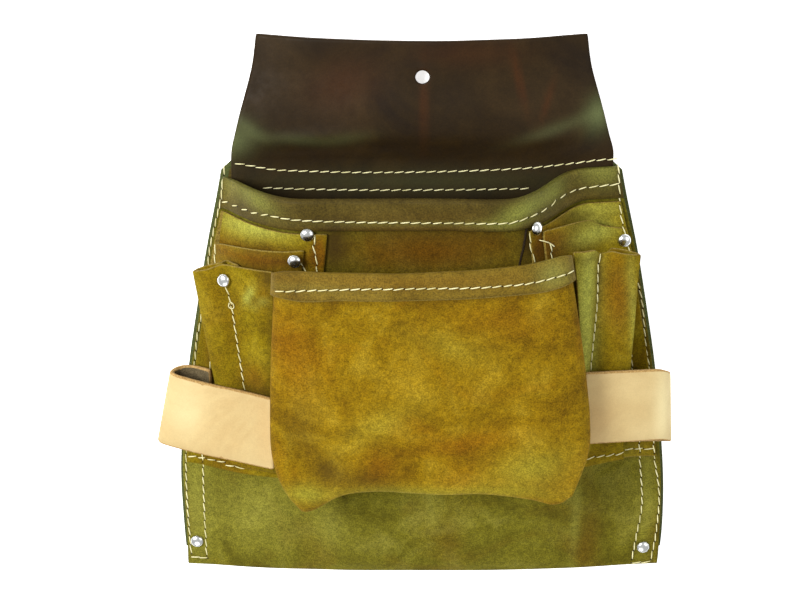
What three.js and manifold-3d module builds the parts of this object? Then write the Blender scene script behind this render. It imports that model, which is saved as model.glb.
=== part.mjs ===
// Carpenter's nail and tool bag: a folded suede main pocket with smaller pockets sewn on its front,
// a flap of oiled leather that goes over a work belt, and two hammer loops. It lies on its back,
// empty, with the belt flap unfolded. Millimetres; +X to the viewer's right, +Y from the bottom fold
// towards the flap, +Z out of the back.
import * as THREE from 'three';
import { mergeVertices } from 'three/addons/utils/BufferGeometryUtils.js';
import Module from 'manifold-3d';

// Play between two pieces that touch
const CLEARANCE = 0.4;

// Main pocket: one sheet folded at the bottom, its front bulging towards the mouth
const BODY_HEIGHT = 260;
const BODY_HALF_WIDTH = 143.4;
const POCKET_WALL = 2.2;
const POCKET_DEPTH = 40;
const FRONT_INSET = 1.8;
const FOLD_CORNER = 6.5;
const FOLD_MIDDLE = 3;
const FOLD_LIP = 9;
const HEM_HEIGHT = 18;

// Belt flap of oiled leather, sewn over the top of the back panel
const FLAP_LENGTH = 73;
const FLAP_LAP = 26;
const FLAP_HALF_WIDTH = 108;
const FLAP_WALL = 2.4;
const FLAP_WAVE = 9;
const HOLE_DIAMETER = 8;
const HOLE_SETBACK = 23;

// Suede side pockets, two flat layers on the main pocket and a folded one over them
const SUEDE_WALL = 1.8;
const POCKET_SEAM = 76;
const SEAM_RISE_RIGHT = 4;
const UPPER_POCKET_DROP = 2;
const MIDDLE_POCKET_GAPE = 5;
const LOWER_POCKET_HIGH = 52;
const LOWER_POCKET_RISE = 132;
const TUBE_HOLLOW = 5;
const LOWER_SLACK = 3;
const SEAM_TURN = 1;
const FLANGE = 7;

// Front pouch, boxed out from the main pocket
const POUCH_HALF_WIDTH = 88;
const POUCH_HEIGHT = 138;
const POUCH_STAND = 29;
const POUCH_BELLY = 11;
const POUCH_WALL = 2;
const POUCH_HEM = 15;
const GUSSET_DROP = 13;

// Hammer loops of vegetable-tanned strap
const LOOP_WIDTH = 44;
const LOOP_WALL = 3;
const LOOP_HIGH = 29;
const LOOP_REAR = 20;

// Rivet caps
const RIVET_DIAMETER = 8;
const RIVET_DOME = 2.4;

// Side edges of the back panel, as shares of the body's height and half width
const BODY_ROWS = [
  { up: 0, left: 0.975, right: 0.99 },
  { up: 0.1, left: 0.99, right: 1.012 },
  { up: 0.2, left: 0.997, right: 1.013 },
  { up: 0.3, left: 1, right: 1.002 },
  { up: 0.52, left: 0.952, right: 0.957 },
  { up: 0.63, left: 0.917, right: 0.92 },
  { up: 0.8, left: 0.864, right: 0.866 },
  { up: 0.91, left: 0.818, right: 0.816 },
  { up: 1, left: 0.788, right: 0.784 },
];

// Mouth of the main pocket from its left to its right side seam, as a share of the body's height
const MOUTH_ROWS = [
  { across: 0, high: 0.968 },
  { across: 0.1, high: 0.965 },
  { across: 0.5, high: 0.964 },
  { across: 0.78, high: 0.966 },
  { across: 0.88, high: 0.985 },
  { across: 1, high: 0.992 },
];

// Bulge of the pocket's front from the bottom fold to the mouth: swell is a share of the pocket's
// depth, the flat seam margins and the rises beside them are shares of the body's half width
const SWELL_ROWS = [
  { up: 0, swell: 0.1, flatLeft: 0.11, riseLeft: 0.3, flatRight: 0.11, riseRight: 0.3 },
  { up: 0.15, swell: 0.36, flatLeft: 0.1, riseLeft: 0.5, flatRight: 0.11, riseRight: 0.45 },
  { up: 0.3, swell: 0.62, flatLeft: 0.06, riseLeft: 0.52, flatRight: 0.1, riseRight: 0.45 },
  { up: 0.53, swell: 0.81, flatLeft: 0.06, riseLeft: 0.45, flatRight: 0.1, riseRight: 0.42 },
  { up: 0.76, swell: 0.93, flatLeft: 0.05, riseLeft: 0.36, flatRight: 0.12, riseRight: 0.36 },
  { up: 1, swell: 1, flatLeft: 0.02, riseLeft: 0.28, flatRight: 0.18, riseRight: 0.28 },
];
const CRISP_LEFT = 0.9;
const CRISP_RIGHT = 0.2;

// Soft dents and swellings of the pocket's front, placed in shares of its width and height, wide and
// tall in the same shares, deep in shares of the pocket's depth
const DENTS = [
  { across: 0.36, up: 0.13, wide: 0.07, tall: 0.12, deep: 0.07 },
  { across: 0.27, up: 0.16, wide: 0.04, tall: 0.1, deep: -0.07 },
  { across: 0.62, up: 0.1, wide: 0.1, tall: 0.1, deep: 0.05 },
  { across: 0.8, up: 0.14, wide: 0.05, tall: 0.12, deep: -0.05 },
  { across: 0.5, up: 0.94, wide: 0.12, tall: 0.05, deep: -0.03 },
];

// Flap from the back panel's top edge to its free end: half widths as shares of the flap's half width,
// ridge and arch as shares of its wave
const FLAP_ROWS = [
  { up: 0, left: 1, right: 1, ridge: 0, arch: 0 },
  { up: 0.1, left: 0.997, right: 1, ridge: 0.2, arch: 0.1 },
  { up: 0.2, left: 0.98, right: 0.978, ridge: 0.42, arch: 0.3 },
  { up: 0.37, left: 0.952, right: 0.948, ridge: 0.45, arch: 0.45 },
  { up: 0.56, left: 0.915, right: 0.912, ridge: 0.2, arch: 0.6 },
  { up: 0.75, left: 0.88, right: 0.873, ridge: 0.04, arch: 0.8 },
  { up: 1, left: 0.858, right: 0.85, ridge: 0, arch: 1 },
];
const FLAP_END_DIP = 0.03;

// Where the flat side pockets begin and end across the pocket's front, in columns of its grid
const COLUMNS = 40;
const SIDE_POCKETS = {
  left: { outer: 0.4, upper: 11, middle: 9 },
  right: { outer: 39.6, upper: 30, middle: 31 },
};

// Mouths of the middle pockets from their outer to their inner edge, as shares of the body's height
const MIDDLE_MOUTHS = {
  left: [
    { across: 0, high: 0.817 },
    { across: 0.5, high: 0.846 },
    { across: 1, high: 0.856 },
  ],
  right: [
    { across: 0, high: 0.855 },
    { across: 0.5, high: 0.876 },
    { across: 1, high: 0.884 },
  ],
};

// Lower pockets from the bottom seam to the mouth: the outer fold and the dividing seam as shares of
// the body's half width, their heights and the root's over the floor as shares of the mouth's
const LOWER_ROWS = {
  left: [
    { up: 0, fold: 0.79, divider: 0.665, foldHigh: 0.4, dividerHigh: 0.5, rootHigh: 0.6 },
    { up: 0.2, fold: 0.8, divider: 0.68, foldHigh: 0.48, dividerHigh: 0.57, rootHigh: 0.68 },
    { up: 0.44, fold: 0.826, divider: 0.708, foldHigh: 0.53, dividerHigh: 0.62, rootHigh: 0.75 },
    { up: 0.6, fold: 0.845, divider: 0.728, foldHigh: 0.56, dividerHigh: 0.66, rootHigh: 0.86 },
    { up: 1, fold: 0.9, divider: 0.781, foldHigh: 0.58, dividerHigh: 0.72, rootHigh: 0.98 },
  ],
  right: [
    { up: 0, fold: 0.83, divider: 0.7, foldHigh: 0.4, dividerHigh: 0.5, rootHigh: 0.6 },
    { up: 0.2, fold: 0.83, divider: 0.69, foldHigh: 0.48, dividerHigh: 0.57, rootHigh: 0.7 },
    { up: 0.46, fold: 0.834, divider: 0.672, foldHigh: 0.53, dividerHigh: 0.64, rootHigh: 0.77 },
    { up: 0.6, fold: 0.84, divider: 0.678, foldHigh: 0.57, dividerHigh: 0.67, rootHigh: 0.86 },
    { up: 1, fold: 0.856, divider: 0.698, foldHigh: 0.62, dividerHigh: 0.73, rootHigh: 0.95 },
  ],
};
// How far the lower pockets' sheet stands off the layers below it, and how far its fold is open
const LOWER_STANDS = [
  { up: 0, stand: 0, tube: 0 },
  { up: 0.2, stand: 0.6, tube: 0.5 },
  { up: 0.45, stand: 1, tube: 0.8 },
  { up: 0.6, stand: 1, tube: 0.9 },
  { up: 1, stand: 1, tube: 1 },
];
// Height of the lower pockets' mouths at the fold, the dividing seam and the pouch, as shares of
// their rise
const LOWER_MOUTHS = {
  left: { fold: 0.952, divider: 1, root: 1.005 },
  right: { fold: 1.03, divider: 1.072, root: 1.085 },
};

// Front pouch from its bottom edge to its mouth: half widths as shares of the pouch's, the feet of
// its gussets as shares of the same, its stand and belly as shares of theirs
const POUCH_ROWS = [
  { up: 0, left: 0.93, right: 1.04, leftFoot: 0.9, rightFoot: 0.96, stand: 1.12, belly: 0.55 },
  { up: 0.12, left: 0.972, right: 1.1, leftFoot: 0.93, rightFoot: 0.98, stand: 1.1, belly: 0.7 },
  { up: 0.3, left: 0.972, right: 1.085, leftFoot: 0.935, rightFoot: 0.975, stand: 1.05, belly: 0.8 },
  { up: 0.6, left: 0.955, right: 1.02, leftFoot: 0.925, rightFoot: 0.95, stand: 0.95, belly: 0.9 },
  { up: 1, left: 0.915, right: 0.912, leftFoot: 0.89, rightFoot: 0.88, stand: 0.72, belly: 1 },
];
// Mouth and bottom edge of the pouch from side to side: heights as shares of the pouch's height
const POUCH_EDGES = [
  { across: -1, mouth: 1.02, bottom: 0.1 },
  { across: -0.9, mouth: 1.02, bottom: -0.02 },
  { across: -0.8, mouth: 1.02, bottom: -0.09 },
  { across: -0.6, mouth: 1.02, bottom: 0.015 },
  { across: 0, mouth: 1.02, bottom: 0.02 },
  { across: 0.5, mouth: 1.025, bottom: 0.005 },
  { across: 0.8, mouth: 1.035, bottom: -0.02 },
  { across: 0.9, mouth: 1.045, bottom: -0.03 },
  { across: 1, mouth: 1.055, bottom: 0.12 },
];
// Cross-section of the pouch from a foot to its middle: across in shares of its half width at that
// height, rise in shares of its stand
const POUCH_SECTION = [
  { across: 1, rise: 0 },
  { across: 1, rise: 0.3 },
  { across: 1, rise: 0.6 },
  { across: 1, rise: 0.82 },
  { across: 0.975, rise: 0.94 },
  { across: 0.92, rise: 0.99 },
  { across: 0.84, rise: 1 },
  { across: 0.74, rise: 1 },
  { across: 0.6, rise: 1 },
  { across: 0.42, rise: 1 },
  { across: 0.22, rise: 1 },
];

// Hammer loops: where the strap's middle leaves the pouch and where it turns back, and how far the
// hidden leg lies below the front one, as shares of the body's height; how far it reaches past the
// body's edge, as a share of the half width, and leans over there; the front leg's height at the
// pouch, as a share of the loop's own height
const LOOPS = {
  left: { root: 0.42, bend: 0.45, reach: 0.08, drop: 0, lean: 0.22, rootHigh: 1.55 },
  right: { root: 0.481, bend: 0.463, reach: 0.04, drop: 0.027, lean: 0.06, rootHigh: 1.55 },
};

// Rivets, by the layer that they hold: places as shares of the body's half width and height
const RIVETS = [
  { name: 'rivet_upper_left', across: -0.444, up: 0.889, layers: 1 },
  { name: 'rivet_middle_left', across: -0.487, up: 0.835, layers: 2 },
  { name: 'rivet_upper_right', across: 0.428, up: 0.893, layers: 1 },
  { name: 'rivet_middle_right', across: 0.8, up: 0.832, layers: 2 },
  { name: 'rivet_base_left', across: -0.937, up: 0.088, layers: 0 },
  { name: 'rivet_base_right', across: 0.932, up: 0.073, layers: 0 },
];

// Place of the rivet on the left lower pocket's dividing seam, as a share of its rise
const SEAM_RIVET = 0.94;

const SUEDE_LAYER = SUEDE_WALL + CLEARANCE;
const SIDES = { left: -1, right: 1 };

const suede = { color: '#8f7a26', roughness: 0.95, metalness: 0 };
const pouchSuede = { color: '#a07d20', roughness: 0.95, metalness: 0 };
const bodySuede = { color: '#7d7a30', roughness: 0.95, metalness: 0 };
const oiledLeather = { color: '#42301f', roughness: 0.5, metalness: 0 };
const naturalLeather = { color: '#e6d697', roughness: 0.6, metalness: 0 };
const nickel = { color: '#c9cdd0', roughness: 0.25, metalness: 1 };

const { clamp, lerp } = THREE.MathUtils;

// Reads one column of a table at a place between its rows, on a smooth curve through them
function read(rows, along, column, place) {
  let next = rows.findIndex((row) => row[along] >= place);
  if (next === -1) next = rows.length - 1;
  next = Math.max(next, 1);
  const value = (row) => rows[clamp(row, 0, rows.length - 1)][column];
  const at = (row) => rows[clamp(row, 0, rows.length - 1)][along];
  const slope = (row) => (value(row + 1) - value(row - 1)) / (at(row + 1) - at(row - 1));
  const span = at(next) - at(next - 1);
  const t = clamp((place - at(next - 1)) / span, 0, 1);
  const start = value(next - 1);
  const end = value(next);
  const rise = t * t * (3 - 2 * t);
  const lead = t * (1 - t) * (1 - t) * span * slope(next - 1);
  const tail = t * t * (1 - t) * span * slope(next);
  return lerp(start, end, rise) + lead - tail;
}

// Closed solid between an outer and an inner face, both given as rows of points
function sheet(outer, inner) {
  const rows = outer.length;
  const columns = outer[0].length;
  const points = [...outer.flat(), ...inner.flat()];
  const at = (face, row, column) => (face * rows + row) * columns + column;
  const index = [];
  const quad = (a, b, c, d) => index.push(a, b, c, a, c, d);
  for (let row = 0; row < rows - 1; row++) {
    for (let column = 0; column < columns - 1; column++) {
      quad(at(0, row, column), at(0, row, column + 1), at(0, row + 1, column + 1), at(0, row + 1, column));
      quad(at(1, row, column), at(1, row + 1, column), at(1, row + 1, column + 1), at(1, row, column + 1));
    }
    quad(at(0, row, 0), at(0, row + 1, 0), at(1, row + 1, 0), at(1, row, 0));
    const last = columns - 1;
    quad(at(0, row, last), at(1, row, last), at(1, row + 1, last), at(0, row + 1, last));
  }
  for (let column = 0; column < columns - 1; column++) {
    const last = rows - 1;
    quad(at(0, 0, column), at(1, 0, column), at(1, 0, column + 1), at(0, 0, column + 1));
    quad(at(0, last, column), at(0, last, column + 1), at(1, last, column + 1), at(1, last, column));
  }
  const geometry = new THREE.BufferGeometry().setFromPoints(points);
  geometry.setIndex(facingOut(points, index));
  return geometry;
}

// Triangles turned over if together they enclose a negative volume
function facingOut(points, index) {
  let volume = 0;
  for (let i = 0; i < index.length; i += 3) {
    const [a, b, c] = [points[index[i]], points[index[i + 1]], points[index[i + 2]]];
    volume += a.dot(b.clone().cross(c));
  }
  return volume < 0 ? index.toReversed() : index;
}

// Places on the pocket's front: across runs from 0 at the left edge to 1 at the right, up from 0 at the
// bottom fold to 1 at the mouth
const bodyEdge = (side, y) => SIDES[side] * BODY_HALF_WIDTH * read(BODY_ROWS, 'up', side, y / BODY_HEIGHT);
const insetAt = (y) => FRONT_INSET * rise(y - FOLD_CORNER, 2 * FOLD_LIP, 0);
const frontEdge = (side, y) => bodyEdge(side, y) - SIDES[side] * insetAt(y);
const foldLine = (across) => lerp(FOLD_CORNER, FOLD_MIDDLE, 4 * across * (1 - across));
const mouthLine = (across) => BODY_HEIGHT * read(MOUTH_ROWS, 'across', 'high', across);

function rise(distance, width, crisp) {
  const t = clamp(distance / width, 0, 1);
  return crisp * t * (2 - t) + (1 - crisp) * t * t * (3 - 2 * t);
}

// Height of the front's outer face over the floor; the flap's lower end lies under its seam margins
function frontHeight(x, y) {
  const up = y / BODY_HEIGHT;
  const column = (name) => read(SWELL_ROWS, 'up', name, up);
  const overFlap = (FLAP_WALL + CLEARANCE) * rise(y - (BODY_HEIGHT - FLAP_LAP * 3.1), FLAP_LAP * 0.95, 0);
  const fromLeft = x - frontEdge('left', y) - BODY_HALF_WIDTH * column('flatLeft');
  const fromRight = frontEdge('right', y) - x - BODY_HALF_WIDTH * column('flatRight');
  const left = rise(fromLeft, BODY_HALF_WIDTH * column('riseLeft'), CRISP_LEFT);
  const right = rise(fromRight, BODY_HALF_WIDTH * column('riseRight'), CRISP_RIGHT);
  const across = (x - frontEdge('left', y)) / (frontEdge('right', y) - frontEdge('left', y));
  let dents = 0;
  for (const dent of DENTS) {
    const away = ((across - dent.across) / dent.wide) ** 2 + ((up - dent.up) / dent.tall) ** 2;
    dents += POCKET_DEPTH * dent.deep * Math.exp(-away);
  }
  const swell = POCKET_DEPTH * column('swell') + dents;
  return POCKET_WALL + CLEARANCE + overFlap + POCKET_WALL + swell * left * right;
}

function frontPlace(across, up) {
  const y = lerp(foldLine(across), mouthLine(across), up);
  const x = lerp(frontEdge('left', y), frontEdge('right', y), across);
  return new THREE.Vector3(x, y, frontHeight(x, y));
}

function frontNormal(x, y) {
  const step = 0.5;
  const slopeX = (frontHeight(x + step, y) - frontHeight(x - step, y)) / (2 * step);
  const slopeY = (frontHeight(x, y + step) - frontHeight(x, y - step)) / (2 * step);
  return new THREE.Vector3(-slopeX, -slopeY, 1).normalize();
}

// Point over the pocket's front, lifted off its face
function overFront(across, up, lift) {
  const place = frontPlace(across, up);
  return place.addScaledVector(frontNormal(place.x, place.y), lift);
}

// Height over the floor of whatever lies that thick on the pocket's front at x and y
function heightOver(x, y, lift) {
  return frontHeight(x, y) + lift / frontNormal(x, y).z;
}

// Rows of the front's grid, bottom fold to hem, which the side pockets on it follow
const FRONT_ROWS = [0.03, 0.08, 0.14, 0.2, 0.26, 0.32, 0.4, 0.48, 0.56, 0.64, 0.72, 0.79, 0.83, 0.87];
const HEM_EDGE = 1 - HEM_HEIGHT / (BODY_HEIGHT * MOUTH_ROWS[0].high);

const upOf = (y, across) => (y - foldLine(across)) / (mouthLine(across) - foldLine(across));
const stations = (count) => Array.from({ length: count + 1 }, (_, i) => i / count);

// Back panel, flat on the floor
function backPanel() {
  const rows = BODY_ROWS.map((row) => Math.max(row.up * BODY_HEIGHT, FOLD_CORNER + FOLD_LIP));
  const edges = (y, z) => ['left', 'right'].map((side) => new THREE.Vector3(bodyEdge(side, y), y, z));
  const face = (z) => rows.map((y) => edges(y, z));
  return sheet(face(POCKET_WALL), face(0));
}

// Belt flap: it lies on the back panel's top, drops to the floor past it and arches towards its free end
async function beltFlap() {
  const seat = POCKET_WALL + CLEARANCE;
  const rows = [-1, -0.5, 0, ...[0.05, 0.12, 0.2, 0.29, 0.38, 0.48, 0.6, 0.74, 0.88, 1]];
  const columns = stations(20);
  const face = (wall) => rows.map((up) => columns.map((across) => {
    const column = (name) => read(FLAP_ROWS, 'up', name, up);
    const middle = 4 * across * (1 - across);
    const x = FLAP_HALF_WIDTH * lerp(-column('left'), column('right'), across);
    const dip = FLAP_END_DIP * FLAP_LENGTH * clamp(up, 0, 1) ** 4 * middle;
    const y = BODY_HEIGHT + up * (up < 0 ? FLAP_LAP : FLAP_LENGTH) - dip;
    const wave = FLAP_WAVE * (column('ridge') + column('arch') * middle);
    return new THREE.Vector3(x, y, seat * (1 - rise(up, 0.4, 0)) + wave + wall);
  }));
  const leather = sheet(face(FLAP_WALL), face(0));
  const punch = new THREE.CylinderGeometry(HOLE_DIAMETER / 2, HOLE_DIAMETER / 2, 6 * FLAP_WAVE, 16);
  punch.rotateX(Math.PI / 2);
  punch.translate(0, BODY_HEIGHT + FLAP_LENGTH - HOLE_SETBACK, FLAP_WAVE);
  return cut(leather, punch);
}

// Main pocket's front: hem, face, bottom fold and the lip that meets the back panel
function mainPocket() {
  const columns = stations(COLUMNS);
  const outer = [];
  const inner = [];
  for (const up of [1, (1 + HEM_EDGE) / 2, HEM_EDGE]) {
    outer.push(columns.map((across) => overFront(across, up, POCKET_WALL)));
    inner.push(columns.map((across) => overFront(across, up, -POCKET_WALL)));
  }
  for (const up of [HEM_EDGE, ...FRONT_ROWS.toReversed()]) {
    outer.push(columns.map((across) => overFront(across, up - 1e-3, 0)));
    inner.push(columns.map((across) => overFront(across, up - 1e-3, -POCKET_WALL)));
  }
  for (const turn of stations(4)) {
    const arc = (wall) => columns.map((across) => {
      const radius = frontPlace(across, 0).z / 2;
      const angle = Math.PI * (0.5 + turn);
      const y = foldLine(across) + radius + (radius - wall) * Math.cos(angle);
      return new THREE.Vector3(frontPlace(across, 0).x, y, radius + (radius - wall) * Math.sin(angle));
    });
    outer.push(arc(0));
    inner.push(arc(POCKET_WALL));
  }
  const lip = (z) => columns.map((across) => {
    return new THREE.Vector3(frontPlace(across, 0).x, FOLD_CORNER + FOLD_LIP - CLEARANCE, z);
  });
  outer.push(lip(0));
  inner.push(lip(POCKET_WALL));
  return sheet(outer, inner);
}

// How far a middle pocket gapes at a share of its width and of its height: most at its mouth
const gape = (share, high) => MIDDLE_POCKET_GAPE * 4 * share * (1 - share) * rise(high - 0.6, 0.4, 0);

const middleMouth = (side, share) => BODY_HEIGHT * read(MIDDLE_MOUTHS[side], 'across', 'high', share);

// Flat side pocket: a sheet on the pocket's front between two of its grid columns
function flatPocket(fromColumn, toColumn, layer, mouth, open) {
  const inside = (column) => (column - fromColumn) * (column - toColumn) < 0;
  const whole = Array.from({ length: COLUMNS }, (_, column) => column).filter(inside);
  const grid = [...whole, fromColumn, toColumn].sort((a, b) => a - b);
  const columns = grid.map((column) => {
    return { across: column / COLUMNS, share: (column - fromColumn) / (toColumn - fromColumn) };
  });
  const lowest = Math.min(...columns.map(({ share, across }) => mouth(share, across)));
  const seam = ({ across }) => upOf(POCKET_SEAM + (across > 0.5 ? SEAM_RISE_RIGHT : 0), across);
  const between = FRONT_ROWS.filter((up) => up > seam(columns[0]) + 0.03 && up < lowest - 0.015);
  const rows = [seam, ...between.map((up) => () => up), ({ share, across }) => mouth(share, across)];
  const face = (lift) => rows.map((row) => columns.map((column) => {
    const up = row(column);
    const high = (up - seam(column)) / (mouth(column.share, column.across) - seam(column));
    return overFront(column.across, up, lift + open(column.share, high));
  }));
  return sheet(face(layer * SUEDE_LAYER + SUEDE_LAYER), face(layer * SUEDE_LAYER + CLEARANCE));
}

function upperPocket(side) {
  const { outer, upper } = SIDE_POCKETS[side];
  const mouth = HEM_EDGE - UPPER_POCKET_DROP / BODY_HEIGHT;
  return flatPocket(outer, upper, 0, () => mouth, () => 0);
}

function middlePocket(side) {
  const { outer, middle } = SIDE_POCKETS[side];
  return flatPocket(outer, middle, 1, (share, across) => upOf(middleMouth(side, share), across), gape);
}

// Depth of the side pockets' layers on the front: sunk to nothing between the pockets, and more where
// a middle pocket gapes
function layersAt(x, y) {
  const across = (x - frontEdge('left', y)) / (frontEdge('right', y) - frontEdge('left', y));
  const left = rise((SIDE_POCKETS.left.upper + 1.5) / COLUMNS - across, 1 / COLUMNS, 0);
  const right = rise(across - (SIDE_POCKETS.right.upper - 1.5) / COLUMNS, 1 / COLUMNS, 0);
  const { outer, middle } = SIDE_POCKETS[x < 0 ? 'left' : 'right'];
  const share = clamp((across * COLUMNS - outer) / (middle - outer), 0, 1);
  const mouth = middleMouth(x < 0 ? 'left' : 'right', share);
  return 2 * SUEDE_LAYER * (left + right) + gape(share, (y - POCKET_SEAM) / (mouth - POCKET_SEAM));
}

// Front pouch: each row is a section from the left foot over the front to the right foot; the last
// rows draw the section back to the pocket's front and so close the bottom
function pouchPoint(across, high, up, stand) {
  const side = across < 0 ? 'left' : 'right';
  const edge = pouchWidth(side, up);
  const foot = pouchWidth(side + 'Foot', up);
  const bottom = lerp(POCKET_SEAM + POUCH_WALL, pouchLine('bottom', across), stand);
  const y = lerp(bottom, pouchLine('mouth', across) - GUSSET_DROP * (1 - high), up);
  const x = across * lerp(foot, edge, high * stand);
  const normal = frontNormal(x, y);
  const underWall = POUCH_WALL / 2 * Math.hypot(normal.x, normal.y) / normal.z;
  const floor = heightOver(x, y, layersAt(x, y) + 1.5 * CLEARANCE) + underWall;
  const belly = POUCH_BELLY * read(POUCH_ROWS, 'up', 'belly', up) * (1 - across ** 2);
  const shoulder = lerp(pouchBase('left', y, up), pouchBase('right', y, up), (across + 1) / 2);
  const front = shoulder + POUCH_STAND * read(POUCH_ROWS, 'up', 'stand', up) + belly;
  return new THREE.Vector3(x, y, lerp(floor, front, high * stand));
}

const pouchWidth = (column, up) => POUCH_HALF_WIDTH * read(POUCH_ROWS, 'up', column, up);

function pouchLine(edge, across) {
  return POCKET_SEAM + POUCH_WALL + POUCH_HEIGHT * read(POUCH_EDGES, 'across', edge, across);
}

// Height of the layers where the pouch's gusset stands on them
function pouchBase(side, y, up) {
  const x = SIDES[side] * pouchWidth(side + 'Foot', up);
  return heightOver(x, y, layersAt(x, y));
}

function frontPouch() {
  const hem = 1 - POUCH_HEM / POUCH_HEIGHT;
  const rows = [
    { up: 1, stand: 1, wall: 2 },
    { up: (1 + hem) / 2, stand: 1, wall: 2 },
    { up: hem, stand: 1, wall: 2 },
    { up: hem - 0.004, stand: 1, wall: 1 },
    ...[0.78, 0.66, 0.54, 0.42, 0.31, 0.21, 0.13, 0.07, 0.03].map((up) => ({ up, stand: 1, wall: 1 })),
    { up: 0.006, stand: 0.97, wall: 1 },
    { up: 0, stand: 0.88, wall: 1 },
    ...[0.68, 0.44, 0.2, 0].map((stand) => ({ up: 0, stand, wall: 1 })),
  ];
  const mirrored = POUCH_SECTION.map(({ across, rise }) => ({ across: -across, rise }));
  const section = [...mirrored, { across: 0, rise: 1 }, ...POUCH_SECTION.toReversed()];
  const middle = rows.map((row) => section.map((station) => {
    return pouchPoint(station.across, station.rise, row.up, row.stand);
  }));
  const normals = normalsOf(middle);
  const face = (sign) => middle.map((row, i) => row.map((point, j) => {
    const out = sign > 0 ? rows[i].wall - 0.5 : -0.5;
    return point.clone().addScaledVector(normals[i][j], out * POUCH_WALL);
  }));
  return sheet(face(1), face(-1));
}

// Unit normals of a grid of points, pointing away from the pocket
function normalsOf(grid) {
  return grid.map((row, i) => row.map((point, j) => {
    const below = grid[Math.min(i + 1, grid.length - 1)][j];
    const above = grid[Math.max(i - 1, 0)][j];
    const right = row[Math.min(j + 1, row.length - 1)];
    const left = row[Math.max(j - 1, 0)];
    return right.clone().sub(left).cross(above.clone().sub(below)).normalize();
  }));
}

// How far from the middle the pouch's gusset and hem reach at y and z
function pouchSide(side, y, z) {
  const bottom = pouchLine('bottom', SIDES[side]);
  const up = clamp((y - bottom) / (pouchLine('mouth', SIDES[side]) - bottom), 0, 1);
  const base = pouchBase(side, y, up);
  const stand = POUCH_STAND * read(POUCH_ROWS, 'up', 'stand', up);
  const middle = lerp(pouchWidth(side + 'Foot', up), pouchWidth(side, up), clamp((z - base) / stand, 0, 1));
  const hem = rise(y - pouchLine('mouth', SIDES[side]) + 2 * POUCH_HEM, POUCH_HEM / 2, 0);
  return middle + POUCH_WALL * (0.5 + hem);
}

// Lower side pocket: the sheet leaves the pouch's side, runs over the dividing seam to the free outer
// fold, turns back below itself to the seam and goes down to a flange on the layers below
function lowerPocketSection(side, up) {
  const sign = SIDES[side];
  const column = (name) => read(LOWER_ROWS[side], 'up', name, up);
  const mouths = LOWER_MOUTHS[side];
  const high = (mouth) => POCKET_SEAM + POUCH_WALL + up * LOWER_POCKET_RISE * mouth;
  const lying = SUEDE_WALL / 2 + 3 * CLEARANCE;
  const point = (x, y, z) => {
    const layer = heightOver(sign * x, y, layersAt(sign * x, y) + lying);
    const free = lerp(layer, z, read(LOWER_STANDS, 'up', 'stand', up));
    return new THREE.Vector3(sign * x, y, Math.max(free, layer));
  };
  const rootY = high(mouths.root);
  const rootZ = LOWER_POCKET_HIGH * column('rootHigh');
  const root = pouchSide(side, rootY, rootZ) + 2 * CLEARANCE;
  const fold = BODY_HALF_WIDTH * column('fold');
  const divider = Math.max(BODY_HALF_WIDTH * column('divider'), root + SUEDE_WALL * 2);
  const foldZ = LOWER_POCKET_HIGH * column('foldHigh');
  const dividerZ = LOWER_POCKET_HIGH * column('dividerHigh');
  const tube = (TUBE_HOLLOW + SUEDE_WALL) * read(LOWER_STANDS, 'up', 'tube', up);
  const middle = (fold + divider) / 2;
  const middleZ = (foldZ + dividerZ) / 2;
  const sealed = SUEDE_WALL + CLEARANCE;
  const dividerY = high(mouths.divider);
  const foldY = high(mouths.fold);
  const middleY = (foldY + dividerY) / 2;
  const slack = (share) => {
    const z = lerp(rootZ, dividerZ, share) + LOWER_SLACK * (1 - share);
    return point(lerp(root, divider, share), lerp(rootY, dividerY, share), z);
  };
  const points = [
    point(root, rootY, rootZ),
    slack(1 / 3),
    slack(2 / 3),
    point(divider, dividerY, dividerZ),
    point(middle, middleY, middleZ + tube / 2),
    point(fold, foldY, foldZ),
    point(middle, middleY, middleZ - tube / 2 - sealed / 2),
    point(divider + SEAM_TURN, dividerY, dividerZ - sealed),
    point(divider - SEAM_TURN, dividerY, dividerZ - sealed * 3),
    ...stations(3).map((share) => point(divider - 2 * SEAM_TURN - FLANGE * share, dividerY, 0)),
  ];
  const curve = new THREE.CatmullRomCurve3(points, false, 'catmullrom', 0.4);
  return stations(26).map((t) => curve.getPointAt(t));
}

function lowerPocket(side) {
  const rows = [0.02, 0.12, 0.24, 0.36, 0.48, 0.6, 0.72, 0.86, 1];
  const outer = [];
  const inner = [];
  for (const up of rows) {
    const places = lowerPocketSection(side, up);
    const across = places.map((place, i) => {
      const ahead = places[Math.min(i + 1, places.length - 1)];
      const behind = places[Math.max(i - 1, 0)];
      return new THREE.Vector3(-(ahead.z - behind.z), 0, ahead.x - behind.x).normalize();
    });
    outer.push(places.map((place, i) => place.clone().addScaledVector(across[i], SUEDE_WALL / 2)));
    inner.push(places.map((place, i) => place.clone().addScaledVector(across[i], -SUEDE_WALL / 2)));
  }
  return sheet(outer, inner);
}

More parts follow.
